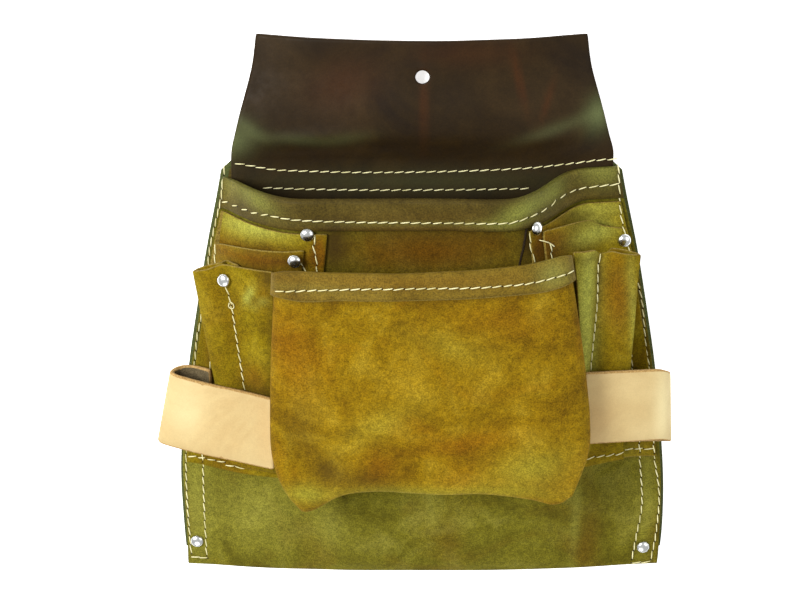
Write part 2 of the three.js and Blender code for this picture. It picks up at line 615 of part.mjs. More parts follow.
// Hammer loop: the strap comes out from the pouch's side, bends round past the body's edge and
// returns over the seam margin
function hammerLoop(side) {
  const sign = SIDES[side];
  const { root, bend, reach, drop, lean, rootHigh } = LOOPS[side];
  const rootY = BODY_HEIGHT * root;
  const bendY = BODY_HEIGHT * bend;
  const rearY = bendY - BODY_HEIGHT * drop;
  const half = LOOP_WIDTH / 2;
  const highest = (x, y) => Math.max(...stations(4).map((share) => {
    const off = lerp(-half, half, share);
    return heightOver(sign * x, y + off, 2 * SUEDE_LAYER);
  }));
  const lying = (x, y) => highest(x, y) + 3 * CLEARANCE + LOOP_WALL / 2;
  const point = (x, y, z) => new THREE.Vector3(sign * x, y, z);
  const rootZ = LOOP_HIGH * rootHigh - LOOP_WALL / 2;
  const sides = [-half, 0, half].map((off) => pouchSide(side, rootY + off, rootZ));
  const rootX = Math.max(...sides) + 2 * CLEARANCE;
  const edge = Math.abs(bodyEdge(side, bendY));
  const end = edge + BODY_HALF_WIDTH * reach;
  const bendZ = LOOP_HIGH - LOOP_WALL / 2;
  const rear = stations(3).map((share) => {
    const x = edge + LOOP_WALL - LOOP_REAR * share;
    return point(x, rearY, lying(x, rearY));
  });
  const path = new THREE.CatmullRomCurve3([
    point(rootX, rootY, rootZ),
    point(lerp(rootX, end, 0.3), lerp(rootY, bendY, 0.3), lerp(rootZ, bendZ, 0.36)),
    point(lerp(rootX, end, 0.65), lerp(rootY, bendY, 0.65), lerp(rootZ, bendZ, 0.76)),
    point(end - 2 * LOOP_WALL, bendY, bendZ - LOOP_WALL / 3),
    point(end - LOOP_WALL / 2, lerp(bendY, rearY, 0.5), (bendZ + rear[0].z + LOOP_WALL) / 2),
    ...rear,
  ], false, 'centripetal');
  const places = path.getSpacedPoints(22);
  const face = (off) => places.map((place, i) => {
    const ahead = places[Math.min(i + 1, places.length - 1)];
    const behind = places[Math.max(i - 1, 0)];
    const turned = clamp(3 * Math.min(i, places.length - 1 - i) / places.length, 0, 1);
    const up = new THREE.Vector3(-sign * lean * turned, 1, 0).normalize();
    const out = up.clone().cross(ahead.clone().sub(behind)).normalize().multiplyScalar(-sign);
    return [-half, half].map((wide) => place.clone().addScaledVector(up, wide).addScaledVector(out, off));
  });
  return sheet(face(LOOP_WALL / 2), face(-LOOP_WALL / 2));
}

// Domed rivet cap, standing on its flat base
function rivetCap() {
  const radius = RIVET_DIAMETER / 2;
  const profile = [new THREE.Vector2(0, 0), new THREE.Vector2(radius, 0), new THREE.Vector2(radius, 0.5)];
  for (const turn of [0.25, 0.55, 0.8]) {
    const angle = turn * Math.PI / 2;
    profile.push(new THREE.Vector2(radius * Math.cos(angle), 0.5 + (RIVET_DOME - 0.5) * Math.sin(angle)));
  }
  profile.push(new THREE.Vector2(0, RIVET_DOME));
  return new THREE.LatheGeometry(profile, 12).rotateX(Math.PI / 2);
}

function closed(geometry) {
  const solid = geometry.clone();
  solid.deleteAttribute('normal');
  solid.deleteAttribute('uv');
  return mergeVertices(solid, 1e-4);
}

// Takes one closed mesh out of another
async function cut(from, tool) {
  const wasm = await Module();
  wasm.setup();
  const solid = (geometry) => {
    const merged = closed(geometry);
    const vertProperties = new Float32Array(merged.attributes.position.array);
    const triVerts = new Uint32Array(merged.index.array);
    return new wasm.Manifold(new wasm.Mesh({ numProp: 3, vertProperties, triVerts }));
  };
  const result = solid(from).subtract(solid(tool)).getMesh();
  const geometry = new THREE.BufferGeometry();
  geometry.setAttribute('position', new THREE.BufferAttribute(result.vertProperties, 3));
  geometry.setIndex(new THREE.BufferAttribute(result.triVerts, 1));
  return geometry;
}

function piece(name, geometry, finish) {
  const mesh = new THREE.Mesh(geometry, new THREE.MeshStandardMaterial(finish));
  mesh.name = name;
  return mesh;
}

// Seats a rivet cap on a surface, square to it
function rivet(name, place, normal) {
  const mesh = piece(name, closed(rivetCap()), nickel);
  mesh.quaternion.setFromUnitVectors(new THREE.Vector3(0, 0, 1), normal);
  mesh.position.copy(place).addScaledVector(normal, CLEARANCE);
  return mesh;
}

const bag = new THREE.Group();
bag.add(piece('back_panel', backPanel(), bodySuede));
bag.add(piece('belt_flap', await beltFlap(), oiledLeather));
bag.add(piece('main_pocket', mainPocket(), bodySuede));
bag.add(piece('front_pouch', frontPouch(), pouchSuede));
for (const side of ['left', 'right']) {
  bag.add(piece('upper_pocket_' + side, upperPocket(side), suede));
  bag.add(piece('middle_pocket_' + side, middlePocket(side), suede));
  bag.add(piece('lower_pocket_' + side, lowerPocket(side), suede));
  bag.add(piece('hammer_loop_' + side, hammerLoop(side), naturalLeather));
}
for (const { name, across, up, layers } of RIVETS) {
  const x = across * BODY_HALF_WIDTH;
  const y = up * BODY_HEIGHT;
  const normal = frontNormal(x, y);
  const place = new THREE.Vector3(x, y, frontHeight(x, y));
  const lift = layers < 2 ? layers * SUEDE_LAYER : layersAt(x, y) + 2 * CLEARANCE;
  bag.add(rivet(name, place.addScaledVector(normal, lift), normal));
}

// One more rivet holds the top of the left lower pocket's dividing seam, clear of the folds beside it
function seamRivet() {
  const divider = -BODY_HALF_WIDTH * read(LOWER_ROWS.left, 'up', 'divider', SEAM_RIVET);
  const section = lowerPocketSection('left', SEAM_RIVET);
  const covered = (place) => Math.abs(place.x - divider) < 0.85 * RIVET_DIAMETER;
  const under = section.slice(0, section.length / 2).filter(covered);
  const along = under.at(-1).clone().sub(under[0]);
  const normal = new THREE.Vector3(along.z, 0, -along.x).normalize();
  const lift = Math.max(...under.map((place) => place.clone().sub(under[0]).dot(normal)));
  const place = under[0].clone().lerp(under.at(-1), (divider - under[0].x) / along.x);
  return rivet('rivet_lower_left', place.addScaledVector(normal, lift + SUEDE_WALL / 2 - CLEARANCE), normal);
}
bag.add(seamRivet());

// The origin is on the floor, under the middle of the whole bag
const box = new THREE.Box3().setFromObject(bag);
const centre = box.getCenter(new THREE.Vector3());
bag.position.set(-centre.x, -centre.y, -box.min.z);

export default bag;
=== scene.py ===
"""Carpenter's nail and tool bag of split suede, laid on its back with the belt flap unfolded.

Lengths are written in millimetres and turned to metres with MM. X runs to the viewer's right, Y from the
bottom fold to the flap, Z from the back panel out to the front pouch.
"""
import math
import bpy
import numpy as np
from mathutils import Matrix, Vector, noise
from mathutils.bvhtree import BVHTree


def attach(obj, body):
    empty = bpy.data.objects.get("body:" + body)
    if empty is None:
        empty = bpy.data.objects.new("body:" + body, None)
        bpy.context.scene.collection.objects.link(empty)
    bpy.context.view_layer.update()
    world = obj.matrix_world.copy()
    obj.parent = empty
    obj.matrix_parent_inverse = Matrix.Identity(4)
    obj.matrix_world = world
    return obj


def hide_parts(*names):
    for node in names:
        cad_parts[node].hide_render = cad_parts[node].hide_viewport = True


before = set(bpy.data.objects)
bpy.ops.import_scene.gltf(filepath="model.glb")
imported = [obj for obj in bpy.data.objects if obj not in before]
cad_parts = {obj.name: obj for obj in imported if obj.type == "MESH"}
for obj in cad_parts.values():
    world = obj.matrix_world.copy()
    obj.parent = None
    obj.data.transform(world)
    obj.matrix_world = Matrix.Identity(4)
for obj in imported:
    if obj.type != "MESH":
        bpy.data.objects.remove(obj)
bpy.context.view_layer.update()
MM = 0.001


# Back panel
# One flat sheet of split suede that lies against the wearer, folded up at the bottom into the front.
# The napped flesh side is outside and the smooth grain side faces the pocket's inside.

def linear(code):
    """An sRGB hex colour as linear RGBA."""
    parts = [int(code[i:i + 2], 16) / 255 for i in (1, 3, 5)]
    return [*(c / 12.92 if c <= 0.04045 else ((c + 0.055) / 1.055) ** 2.4 for c in parts), 1]


def add(tree, kind, inputs=None, stops=None, **settings):
    """Adds a node with its settings, input values or links, and colour stops."""
    node = tree.nodes.new(kind)
    for name, value in settings.items():
        setattr(node, name, value)
    for name, value in (inputs or {}).items():
        if isinstance(value, bpy.types.NodeSocket):
            tree.links.new(value, node.inputs[name])
        else:
            node.inputs[name].default_value = value
    if stops:
        elements = node.color_ramp.elements
        while len(elements) < len(stops):
            elements.new(0.5)
        for element, (place, code) in zip(elements, stops):
            element.position = place
            element.color = linear(code)
    return node


def per_mm(size):
    """Scale of a noise whose features are about that many millimetres wide."""
    return 1 / (size * MM)


def blank_material(name):
    """A material with its nodes still to come, and the Object coordinates that its patterns follow."""
    material = bpy.data.materials.new(name)
    material.use_nodes = True
    tree = material.node_tree
    tree.nodes.clear()
    return material, tree, add(tree, "ShaderNodeTexCoord").outputs["Object"]


# What years of handling turn the brushed side and the smooth side to; the same colours paint shade into
# recesses, creases, gaps and under overhanging parts.
SOIL_AND_SHADE_SUEDE = "#33240c"
SOIL_AND_SHADE_GRAIN = "#241a0e"


def split_suede(name, deep, mid, pale, orange, bare_and_highlight):
    """Split cowhide, the flesh side brushed to a short nap: matt, with a soft sheen at grazing angles,
    cloudy patches some 30 mm wide where the nap lies another way, and a grain of about 0.8 mm. It turns
    orange where oil has gone in, pale where the nap is scuffed away and where a highlight is painted on lit
    folds, and dark where it is handled and where shade is painted into recesses, creases and gaps."""
    material, tree, place = blank_material(name)
    clouds = add(tree, "ShaderNodeTexNoise", {"Vector": place, "Scale": per_mm(34), "Detail": 5,
                                              "Roughness": 0.62, "Distortion": 0.6})
    stained = add(tree, "ShaderNodeTexNoise", {"Vector": place, "Scale": per_mm(60), "Detail": 3,
                                               "Distortion": 1.2})
    nap = add(tree, "ShaderNodeTexNoise", {"Vector": place, "Scale": per_mm(3.2), "Detail": 4,
                                           "Roughness": 0.7})
    fibre = add(tree, "ShaderNodeTexNoise", {"Vector": place, "Scale": per_mm(0.8), "Detail": 3,
                                             "Roughness": 0.8})
    tone = add(tree, "ShaderNodeValToRGB", {"Fac": clouds.outputs["Fac"]},
               stops=[(0.32, deep), (0.5, mid), (0.68, pale)])
    stain = add(tree, "ShaderNodeValToRGB", {"Fac": stained.outputs["Fac"]},
                stops=[(0.52, "#000000"), (0.7, "#a0a0a0")])
    warmed = add(tree, "ShaderNodeMixRGB", {"Fac": stain.outputs["Color"], "Color1": tone.outputs["Color"],
                                            "Color2": linear(orange)})
    warm = add(tree, "ShaderNodeAttribute", attribute_name="warm")
    oily = add(tree, "ShaderNodeMixRGB", {"Fac": warm.outputs["Fac"], "Color1": warmed.outputs["Color"],
                                          "Color2": linear(orange)})
    # Paler where scuffed, and a painted highlight on lit folds.
    rubbed = add(tree, "ShaderNodeAttribute", attribute_name="rubbed")
    light = add(tree, "ShaderNodeMixRGB", {"Fac": rubbed.outputs["Fac"], "Color1": oily.outputs["Color"],
                                           "Color2": linear(bare_and_highlight)})
    brushed = add(tree, "ShaderNodeValToRGB", {"Fac": nap.outputs["Fac"]},
                  stops=[(0.3, "#b4b4b4"), (0.7, "#ffffff")])
    napped = add(tree, "ShaderNodeMixRGB", {"Fac": 0.75, "Color1": light.outputs["Color"],
                                            "Color2": brushed.outputs["Color"]}, blend_type="MULTIPLY")
    speckle = add(tree, "ShaderNodeValToRGB", {"Fac": fibre.outputs["Fac"]},
                  stops=[(0.34, "#8c8c8c"), (0.62, "#ffffff")])
    colour = add(tree, "ShaderNodeMixRGB", {"Fac": 0.7, "Color1": napped.outputs["Color"],
                                            "Color2": speckle.outputs["Color"]}, blend_type="MULTIPLY")
    # Darker where handled, and painted shade in recesses, creases, gaps and under overhanging parts.
    dirt = add(tree, "ShaderNodeAttribute", attribute_name="dirt")
    darkened = add(tree, "ShaderNodeMixRGB", {"Fac": dirt.outputs["Fac"], "Color1": colour.outputs["Color"],
                                          "Color2": linear(SOIL_AND_SHADE_SUEDE)})
    coarse = add(tree, "ShaderNodeBump", {"Height": nap.outputs["Fac"], "Strength": 0.35,
                                          "Distance": 0.5 * MM})
    fine = add(tree, "ShaderNodeBump", {"Height": fibre.outputs["Fac"], "Strength": 0.5,
                                        "Distance": 0.25 * MM, "Normal": coarse.outputs["Normal"]})
    shader = add(tree, "ShaderNodeBsdfPrincipled",
                 {"Base Color": darkened.outputs["Color"], "Roughness": 0.95, "Specular IOR Level": 0.08,
                  "Sheen Weight": 0.07, "Sheen Roughness": 0.4, "Sheen Tint": linear("#c8a848"),
                  "Normal": fine.outputs["Normal"]})
    add(tree, "ShaderNodeOutputMaterial", {"Surface": shader.outputs["BSDF"]})
    return material


def smooth_grain(name, deep, mid, pale, glaze, orange, uneven, speckled, roughness):
    """The hide's own grain side, as tanned and waxed: small pebbles about 1.5 mm wide with a low waxy
    gloss, more or less uneven and speckled, with long faint scratches and, where the leather bends, a
    paler painted sheen. It is darker where handled, and where shade is painted into creases."""
    material, tree, place = blank_material(name)
    clouds = add(tree, "ShaderNodeTexNoise", {"Vector": place, "Scale": per_mm(42), "Detail": 5,
                                              "Roughness": 0.6, "Distortion": 0.8})
    mottle = add(tree, "ShaderNodeTexNoise", {"Vector": place, "Scale": per_mm(6), "Detail": 4,
                                              "Roughness": 0.65})
    pebble = add(tree, "ShaderNodeTexVoronoi", {"Vector": place, "Scale": per_mm(1.5)},
                 feature="DISTANCE_TO_EDGE")
    along = add(tree, "ShaderNodeMapping", {"Vector": place, "Scale": (0.25, 1, 1),
                                            "Rotation": (0, 0, 0.5)})
    scuff = add(tree, "ShaderNodeTexNoise", {"Vector": along.outputs["Vector"], "Scale": per_mm(2.2),
                                             "Detail": 3})
    tone = add(tree, "ShaderNodeValToRGB", {"Fac": clouds.outputs["Fac"]},
               stops=[(0.3, deep), (0.5, mid), (0.72, pale)])
    shade = add(tree, "ShaderNodeValToRGB", {"Fac": mottle.outputs["Fac"]},
                stops=[(0.3, "#a8a8a8"), (0.68, "#ffffff")])
    mottled = add(tree, "ShaderNodeMixRGB", {"Fac": uneven, "Color1": tone.outputs["Color"],
                                             "Color2": shade.outputs["Color"]}, blend_type="MULTIPLY")
    warm = add(tree, "ShaderNodeAttribute", attribute_name="warm")
    oily = add(tree, "ShaderNodeMixRGB", {"Fac": warm.outputs["Fac"], "Color1": mottled.outputs["Color"],
                                          "Color2": linear(orange)})
    # A painted sheen, paler and greenish, where the leather bends.
    sheen_share = add(tree, "ShaderNodeAttribute", attribute_name="glaze")
    waxed = add(tree, "ShaderNodeMixRGB", {"Fac": sheen_share.outputs["Fac"], "Color1": oily.outputs["Color"],
                                           "Color2": linear(glaze)})
    pores = add(tree, "ShaderNodeTexNoise", {"Vector": place, "Scale": per_mm(0.9), "Detail": 3,
                                             "Roughness": 0.8})
    speckle = add(tree, "ShaderNodeValToRGB", {"Fac": pores.outputs["Fac"]},
                  stops=[(0.36, "#808080"), (0.62, "#ffffff")])
    fine = add(tree, "ShaderNodeMixRGB", {"Fac": speckled, "Color1": waxed.outputs["Color"],
                                          "Color2": speckle.outputs["Color"]}, blend_type="MULTIPLY")
    # Darker where handled, and painted shade in creases and under overhanging parts.
    dirt = add(tree, "ShaderNodeAttribute", attribute_name="dirt")
    darkened = add(tree, "ShaderNodeMixRGB", {"Fac": dirt.outputs["Fac"], "Color1": fine.outputs["Color"],
                                          "Color2": linear(SOIL_AND_SHADE_GRAIN)})
    marks = add(tree, "ShaderNodeValToRGB", {"Fac": scuff.outputs["Fac"]},
                stops=[(0.64, "#000000"), (0.74, "#303030")])
    marked = add(tree, "ShaderNodeMixRGB", {"Fac": marks.outputs["Color"], "Color1": darkened.outputs["Color"],
                                            "Color2": linear(pale)})
    creases = add(tree, "ShaderNodeBump", {"Height": pebble.outputs["Distance"], "Strength": 0.25,
                                           "Distance": 0.15 * MM})
    skin = add(tree, "ShaderNodeBump", {"Height": mottle.outputs["Fac"], "Strength": 0.3,
                                        "Distance": 0.6 * MM, "Normal": creases.outputs["Normal"]})
    gloss = add(tree, "ShaderNodeMapRange", {"Value": mottle.outputs["Fac"], "From Min": 0.3,
                                             "From Max": 0.7, "To Min": roughness + 0.1,
                                             "To Max": roughness - 0.08})
    shader = add(tree, "ShaderNodeBsdfPrincipled",
                 {"Base Color": marked.outputs["Color"], "Roughness": gloss.outputs["Result"],
                  "Specular IOR Level": 0.1, "Normal": skin.outputs["Normal"]})
    add(tree, "ShaderNodeOutputMaterial", {"Surface": shader.outputs["BSDF"]})
    return material


def cut_edge(name, dark, light):
    """The cut edge of a hide: a band of packed fibres, darker than its faces and quite matt."""
    material, tree, place = blank_material(name)
    fibre = add(tree, "ShaderNodeTexNoise", {"Vector": place, "Scale": per_mm(0.9), "Detail": 4})
    tone = add(tree, "ShaderNodeValToRGB", {"Fac": fibre.outputs["Fac"]},
               stops=[(0.35, dark), (0.65, light)])
    rough = add(tree, "ShaderNodeBump", {"Height": fibre.outputs["Fac"], "Strength": 0.6,
                                         "Distance": 0.3 * MM})
    shader = add(tree, "ShaderNodeBsdfPrincipled",
                 {"Base Color": tone.outputs["Color"], "Roughness": 0.9, "Specular IOR Level": 0.2,
                  "Normal": rough.outputs["Normal"]})
    add(tree, "ShaderNodeOutputMaterial", {"Surface": shader.outputs["BSDF"]})
    return material


MERGED = 0.005  # points of a node's loose triangles that lie this near are one
SHARP_FOLD = 52  # a rim turns by more degrees than this, and a sheet never does
RIM_CREASE = 0.55  # how much of a rim's sharpness is kept as it is rounded
WIDEST_EDGE = 4.8  # a face between two rims this near is a cut edge: no leather here is thicker
ROUNDING = 2  # steps of subdivision


def copied(node, ending, materials):
    """A copy of a node's solid as a piece of its own, in edit mode, its points merged and all selected."""
    bpy.ops.object.select_all(action="DESELECT")
    piece = bpy.data.objects.new(node + ending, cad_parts[node].data.copy())
    bpy.context.scene.collection.objects.link(piece)
    piece.select_set(True)
    bpy.context.view_layer.objects.active = piece
    piece.data.materials.clear()
    for material in materials:
        piece.data.materials.append(material)
    bpy.ops.object.mode_set(mode="EDIT")
    bpy.ops.mesh.select_mode(type="EDGE")
    bpy.ops.mesh.select_all(action="SELECT")
    bpy.ops.mesh.remove_doubles(threshold=MERGED * MM)
    return piece


def rounded_off(piece):
    """Rounds the piece by subdivision and shades it smooth."""
    rounding = piece.modifiers.new("rounding", "SUBSURF")
    rounding.levels = rounding.render_levels = ROUNDING
    bpy.ops.object.modifier_apply(modifier="rounding")
    bpy.ops.object.shade_smooth()


def sewn_piece(node, faces, is_outside, is_folded=lambda centre: False):
    """The leather of one node: its faces merged and rounded, its cut edge and its two sides told apart.
    faces are the materials of the outside, the cut edge and the inside; a folded edge has no cut."""
    piece = copied(node, "_leather", faces)
    bpy.ops.mesh.tris_convert_to_quads(face_threshold=math.radians(60), shape_threshold=math.radians(80))
    bpy.ops.mesh.customdata_custom_splitnormals_clear()
    bpy.ops.mesh.select_all(action="DESELECT")
    bpy.ops.mesh.edges_select_sharp(sharpness=math.radians(SHARP_FOLD))
    bpy.ops.transform.edge_crease(value=RIM_CREASE)
    bpy.ops.object.mode_set(mode="OBJECT")
    mesh = piece.data
    sharp = {tuple(sorted(edge.vertices)) for edge in mesh.edges if edge.select}
    for face in mesh.polygons:
        own = [key for key in face.edge_keys if key in sharp]
        middles = [(mesh.vertices[a].co + mesh.vertices[b].co) / 2 for a, b in own]
        narrow = [(p - q).length < WIDEST_EDGE * MM for i, p in enumerate(middles)
                  for j, q in enumerate(middles) if i < j and not set(own[i]) & set(own[j])]
        if any(narrow) and not is_folded(face.center / MM):
            face.material_index = 1
        else:
            face.material_index = 0 if is_outside(face.center / MM, face.normal) else 2
    rounded_off(piece)
    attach(piece, "root")
    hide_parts(node)
    return piece


def places_of(piece):
    """The piece's points in millimetres."""
    places = np.empty(len(piece.data.vertices) * 3)
    piece.data.vertices.foreach_get("co", places)
    return places.reshape(-1, 3) / MM


def move_points(piece, rise, axis=2):
    """Moves the piece's points by so many millimetres along an axis, upwards unless another is named."""
    places = places_of(piece)
    places[:, axis] += rise
    piece.data.vertices.foreach_set("co", (places * MM).ravel())
    piece.data.update()


def blots(places, table):
    """Soft oval spots. A row is its x and y, its width and height in millimetres, its turn in degrees
    and its depth, height or share in the middle."""
    total = np.zeros(len(places))
    for x, y, wide, tall, turn, deep in table:
        dx, dy = places[:, 0] - x, places[:, 1] - y
        c, s = math.cos(math.radians(turn)), math.sin(math.radians(turn))
        total += deep * np.exp(-((c * dx + s * dy) / wide) ** 2 - ((c * dy - s * dx) / tall) ** 2)
    return total


def ripples(places, size, height, shift):
    """Gentle unevenness of the hide, so many millimetres wide and high."""
    return np.array([height * noise.noise(Vector(p) / size + Vector((shift, 0, 0))) for p in places])


def wear_and_painted_light(piece, table):
    """Keeps for each kind of mark a share from 0 to 1 at each point, which a material reads by its name.
    The table's rows are a kind and a soft spot. The kinds are soiling with painted shade, a warm oil stain,
    scuffing with painted highlight, and a painted sheen."""
    places = places_of(piece)
    for kind in ("dirt", "warm", "rubbed", "glaze"):
        layer = piece.data.attributes.new(kind, "FLOAT", "POINT")
        share = blots(places, [row[1:] for row in table if row[0] == kind])
        layer.data.foreach_set("value", np.clip(share, 0, 1).astype(np.float32))


olive_suede = split_suede("olive_split_suede", "#5e560f", "#77701c", "#8b8430", "#684408", "#a09c40")
grain_side = smooth_grain("olive_brown_grain_side", "#463a10", "#584a18", "#6c5c24", "#888a3c", "#5a3c0c",
                          0.5, 0.7, 0.6)
green_edge = cut_edge("dark_green_cut_edge", "#343a1a", "#50552a")

back = sewn_piece("back_panel", [olive_suede, green_edge, grain_side],
                  lambda centre, normal: normal.z < 0)
# Soft patches on the back panel: paler, darker and orange, and a darker band along the bottom fold.
wear_and_painted_light(back, [("rubbed", 10, -20, 70, 60, 10, 0.5), ("dirt", -60, 40, 30, 40, 20, 0.3),
            ("warm", 70, -100, 40, 30, 0, 0.4), ("dirt", 0, -150, 140, 8, 0, 0.3)])


# Main pocket
# The front half of the folded sheet, its mouth hemmed outwards so that a band of the grain side shows.
# It bulges over what it holds and is sewn to the back panel down both sides with a double row.

def hem_low(x):
    """Height of the main hem's lower edge at x, which climbs to the right."""
    return np.interp(x, [-112, 4, 68, 91, 119], [66.2, 64.9, 65.4, 70.2, 71.9])


def main_mouth(centre):
    """Whether a place lies at the mouth's fold, more than 4 mm over the hem's lower edge."""
    return centre.y > hem_low(centre.x) + 4


def main_outside(centre, normal):
    """Whether a face shows the brushed side: it looks out of the front, or lies at the bottom fold's back,
    and isn't on the hem, whose lower edge is met within 1 mm."""
    if centre.y > hem_low(centre.x) - 1:
        return False
    return normal.z > -0.1 or centre.z < 1


def rising(values, start, length):
    """A share that rises from 0 at start to 1 so many millimetres on, or back if that is negative."""
    return np.clip((values - start) / length, 0, 1)


SAGS = [
    (-70, -125, 12, 34, 15, -1.6), (-38, -120, 10, 30, 5, 1.4), (60, -128, 9, 26, -12, -1.2),
    (88, -120, 8, 34, -6, 1.6), (8, -140, 40, 12, 0, 1.0), (-100, -110, 14, 20, 30, 0.8),
    (-20, 52, 30, 7, 4, 0.8), (30, 56, 20, 6, -8, -0.7), (-80, 58, 14, 6, -20, -0.6),
]


def pocket_sag(places):
    """What the pocket's front and the pockets sewn on it sink and swell alike, least at the seams."""
    free = rising(places[:, 2], 9, 12)
    return free * (blots(places, SAGS) + ripples(places * [1, 1, 0], size=26, height=0.9, shift=3.1))


# Marks on the main pocket. The dark spots are painted shade: at the ends of the recess between the side
# pockets, in the slit beside the right upper pocket, under and along the top of the hem, beneath the front
# pouch and on the lower right, away from the light. The sheen spots on the hem's ends and along its row are
# a painted highlight. The orange spots are oil stains, and the pale spots lighten the lower body.
MAIN_WEAR_AND_PAINTED_LIGHT = [
    ("glaze", -88, 79, 12, 6, -20, 0.55), ("glaze", -106, 82, 8, 10, 0, 0.3),
    ("glaze", 60, 76, 14, 6, 20, 0.95), ("glaze", 78, 81, 7, 6, 35, 0.6), ("glaze", 106, 87, 14, 8, 0, 0.6),
    ("glaze", 0, 69, 60, 1.6, 0, 0.25), ("glaze", 45, 69, 14, 3, 0, 0.3), ("warm", 6, 52, 62, 18, 0, 0.95),
    ("dirt", -45, 55, 8, 13, 0, 0.85), ("dirt", 62, 55, 3, 12, 0, 0.75), ("dirt", 6, 62, 60, 4, 0, 0.3),
    ("warm", 21, -138, 8, 18, 4, 0.35), ("warm", 104, -140, 7, 20, -4, 0.5),
    ("dirt", 110, -120, 22, 26, 0, 0.22), ("dirt", 0, -94, 80, 5, 0, 0.3),
    ("rubbed", -131, -118, 9, 44, 0, 0.6), ("rubbed", -94, -122, 30, 24, 0, 0.45),
    ("rubbed", -50, -130, 9, 16, 0, 0.4), ("rubbed", 96, -128, 3, 26, -2, 0.45),
    ("rubbed", 138, -110, 6, 40, 0, 0.4), ("warm", -120, 20, 6, 40, 6, 0.4),
    ("warm", 132, 0, 6, 50, 6, 0.35), ("dirt", 4, 84, 90, 2.5, 0, 0.35),
]
pocket = sewn_piece("main_pocket", [olive_suede, green_edge, grain_side], main_outside,
                    main_mouth)
wear_and_painted_light(pocket, MAIN_WEAR_AND_PAINTED_LIGHT)
move_points(pocket, pocket_sag(places_of(pocket)))


# Belt flap
# A stiff flap of dark oiled leather, sewn over the back panel's top with two rows and punched near its
# free end for the snap that closes it round the belt.

oiled = smooth_grain("dark_oiled_pull_up_leather", "#20160a", "#291d0b", "#32240f", "#636c42", "#482409",
                     0.3, 0.3, 0.55)
flesh = split_suede("brown_flesh_side", "#4a3720", "#5d482c", "#6f5a3c", "#4f3a20", "#7a6444")
dark_edge = cut_edge("dark_brown_cut_edge", "#1f160c", "#3a2a18")

FLAP_FOLDS = [
    (-62, 106, 34, 5, 6, 1.1), (-50, 98, 40, 4, 3, -1.0), (-92, 112, 16, 5, -38, 1.2),
    (78, 106, 34, 6, 22, 1.1), (60, 98, 30, 4, 6, -0.8), (3, 142, 7, 7, 0, -0.6),
    (20, 126, 60, 12, -4, 0.8), (-60, 146, 26, 10, 8, -0.7),
]
# Marks on the flap. The sheen spots are a painted highlight where the flap curls up off its rows and at its
# lower corners, and a faint one lightens the band between its two rows. The dark bands under the curls are
# painted shade, and a dark mark lies just over the hole. The orange streaks and patches are stains.
FLAP_WEAR_AND_PAINTED_LIGHT = [
    ("glaze", -102, 105, 12, 10, 20, 0.5), ("glaze", -92, 112, 13, 3.5, -38, 0.2),
    ("glaze", -66, 106, 20, 3.5, -4, 0.2), ("glaze", -38, 107, 14, 3.5, 8, 0.15),
    ("glaze", 104, 121, 8, 11, -30, 0.6), ("glaze", 80, 113, 22, 3.5, 20, 0.22),
    ("dirt", -50, 98, 44, 4, 3, 0.25), ("dirt", 60, 98, 34, 4, 6, 0.15), ("glaze", 0, 80, 90, 8, 0, 0.14),
    ("dirt", 3, 149, 7, 2.5, 0, 0.7), ("warm", 58, 140, 2.2, 16, 14, 0.5),
    ("warm", 5, 128, 2.5, 22, 0, 0.4), ("warm", 74, 128, 2, 12, -16, 0.4),
    ("warm", -40, 138, 20, 14, 20, 0.3), ("warm", 30, 156, 30, 8, 0, 0.25),
]
flap = sewn_piece("belt_flap", [oiled, dark_edge, flesh],
                  lambda centre, normal: normal.z > 0)
wear_and_painted_light(flap, FLAP_WEAR_AND_PAINTED_LIGHT)
spots = places_of(flap)
free = rising(spots[:, 1], 96, 12)
move_points(flap, free * (ripples(spots * [1, 1, 0], size=34, height=1.2, shift=7.7)
                          + blots(spots, FLAP_FOLDS)))


# Side pockets
# Three layers of thinner suede down each side: an upper and a middle pocket that lie flat on the front,
# and a lower one folded into a slot and a tube, its dividing seam run down to the bottom seam.

ochre_suede = split_suede("ochre_split_suede", "#735e08", "#8e790c", "#a08d20", "#80560a", "#b0b04a")
ochre_edge = cut_edge("ochre_cut_edge", "#5a4816", "#8a7630")

# Marks on the upper and middle side pockets. The dark spots are painted shade at the pockets' mouths, along
# the gaps between their layers, by the left side seam and beside the lower pockets. The orange spots are
# oil stains, and the pale spots lighten the pockets' upper corners and their lower edge.
FLAT_WEAR_AND_PAINTED_LIGHT = [
    ("rubbed", -90, 62, 24, 6, 8, 0.85), ("warm", -53, 54, 4, 14, 0, 1.0), ("warm", -82, 47, 40, 6, 4, 1.0),
    ("dirt", -74, 46, 18, 6, 4, 0.5), ("dirt", -98, 42, 20, 3, 0, 0.3), ("dirt", -84, 53, 30, 1.8, 6, 0.3),
    ("rubbed", 104, 66, 20, 5, 0, 0.6), ("dirt", 86, 65, 14, 2.2, -16, 0.6),
    ("rubbed", 101, 54, 14, 6, 0, 0.9), ("warm", 78, 54, 9, 12, 0, 0.9), ("dirt", 80, 51, 9, 8, 0, 0.4),
    ("warm", 69, 54, 4, 12, 0, 0.8), ("dirt", 69, 50, 5, 10, 0, 0.4), ("warm", -114, 0, 8, 40, 0, 0.8),
    ("dirt", -114, 0, 8, 40, 0, 0.2), ("dirt", -100, -30, 20, 12, 0, 0.7),
    ("dirt", 108, -32, 16, 10, 0, 0.4), ("rubbed", 110, -84, 30, 4, 0, 0.4),
    ("warm", -100, -84, 30, 4, 0, 0.3),
]
flat_pockets = {}
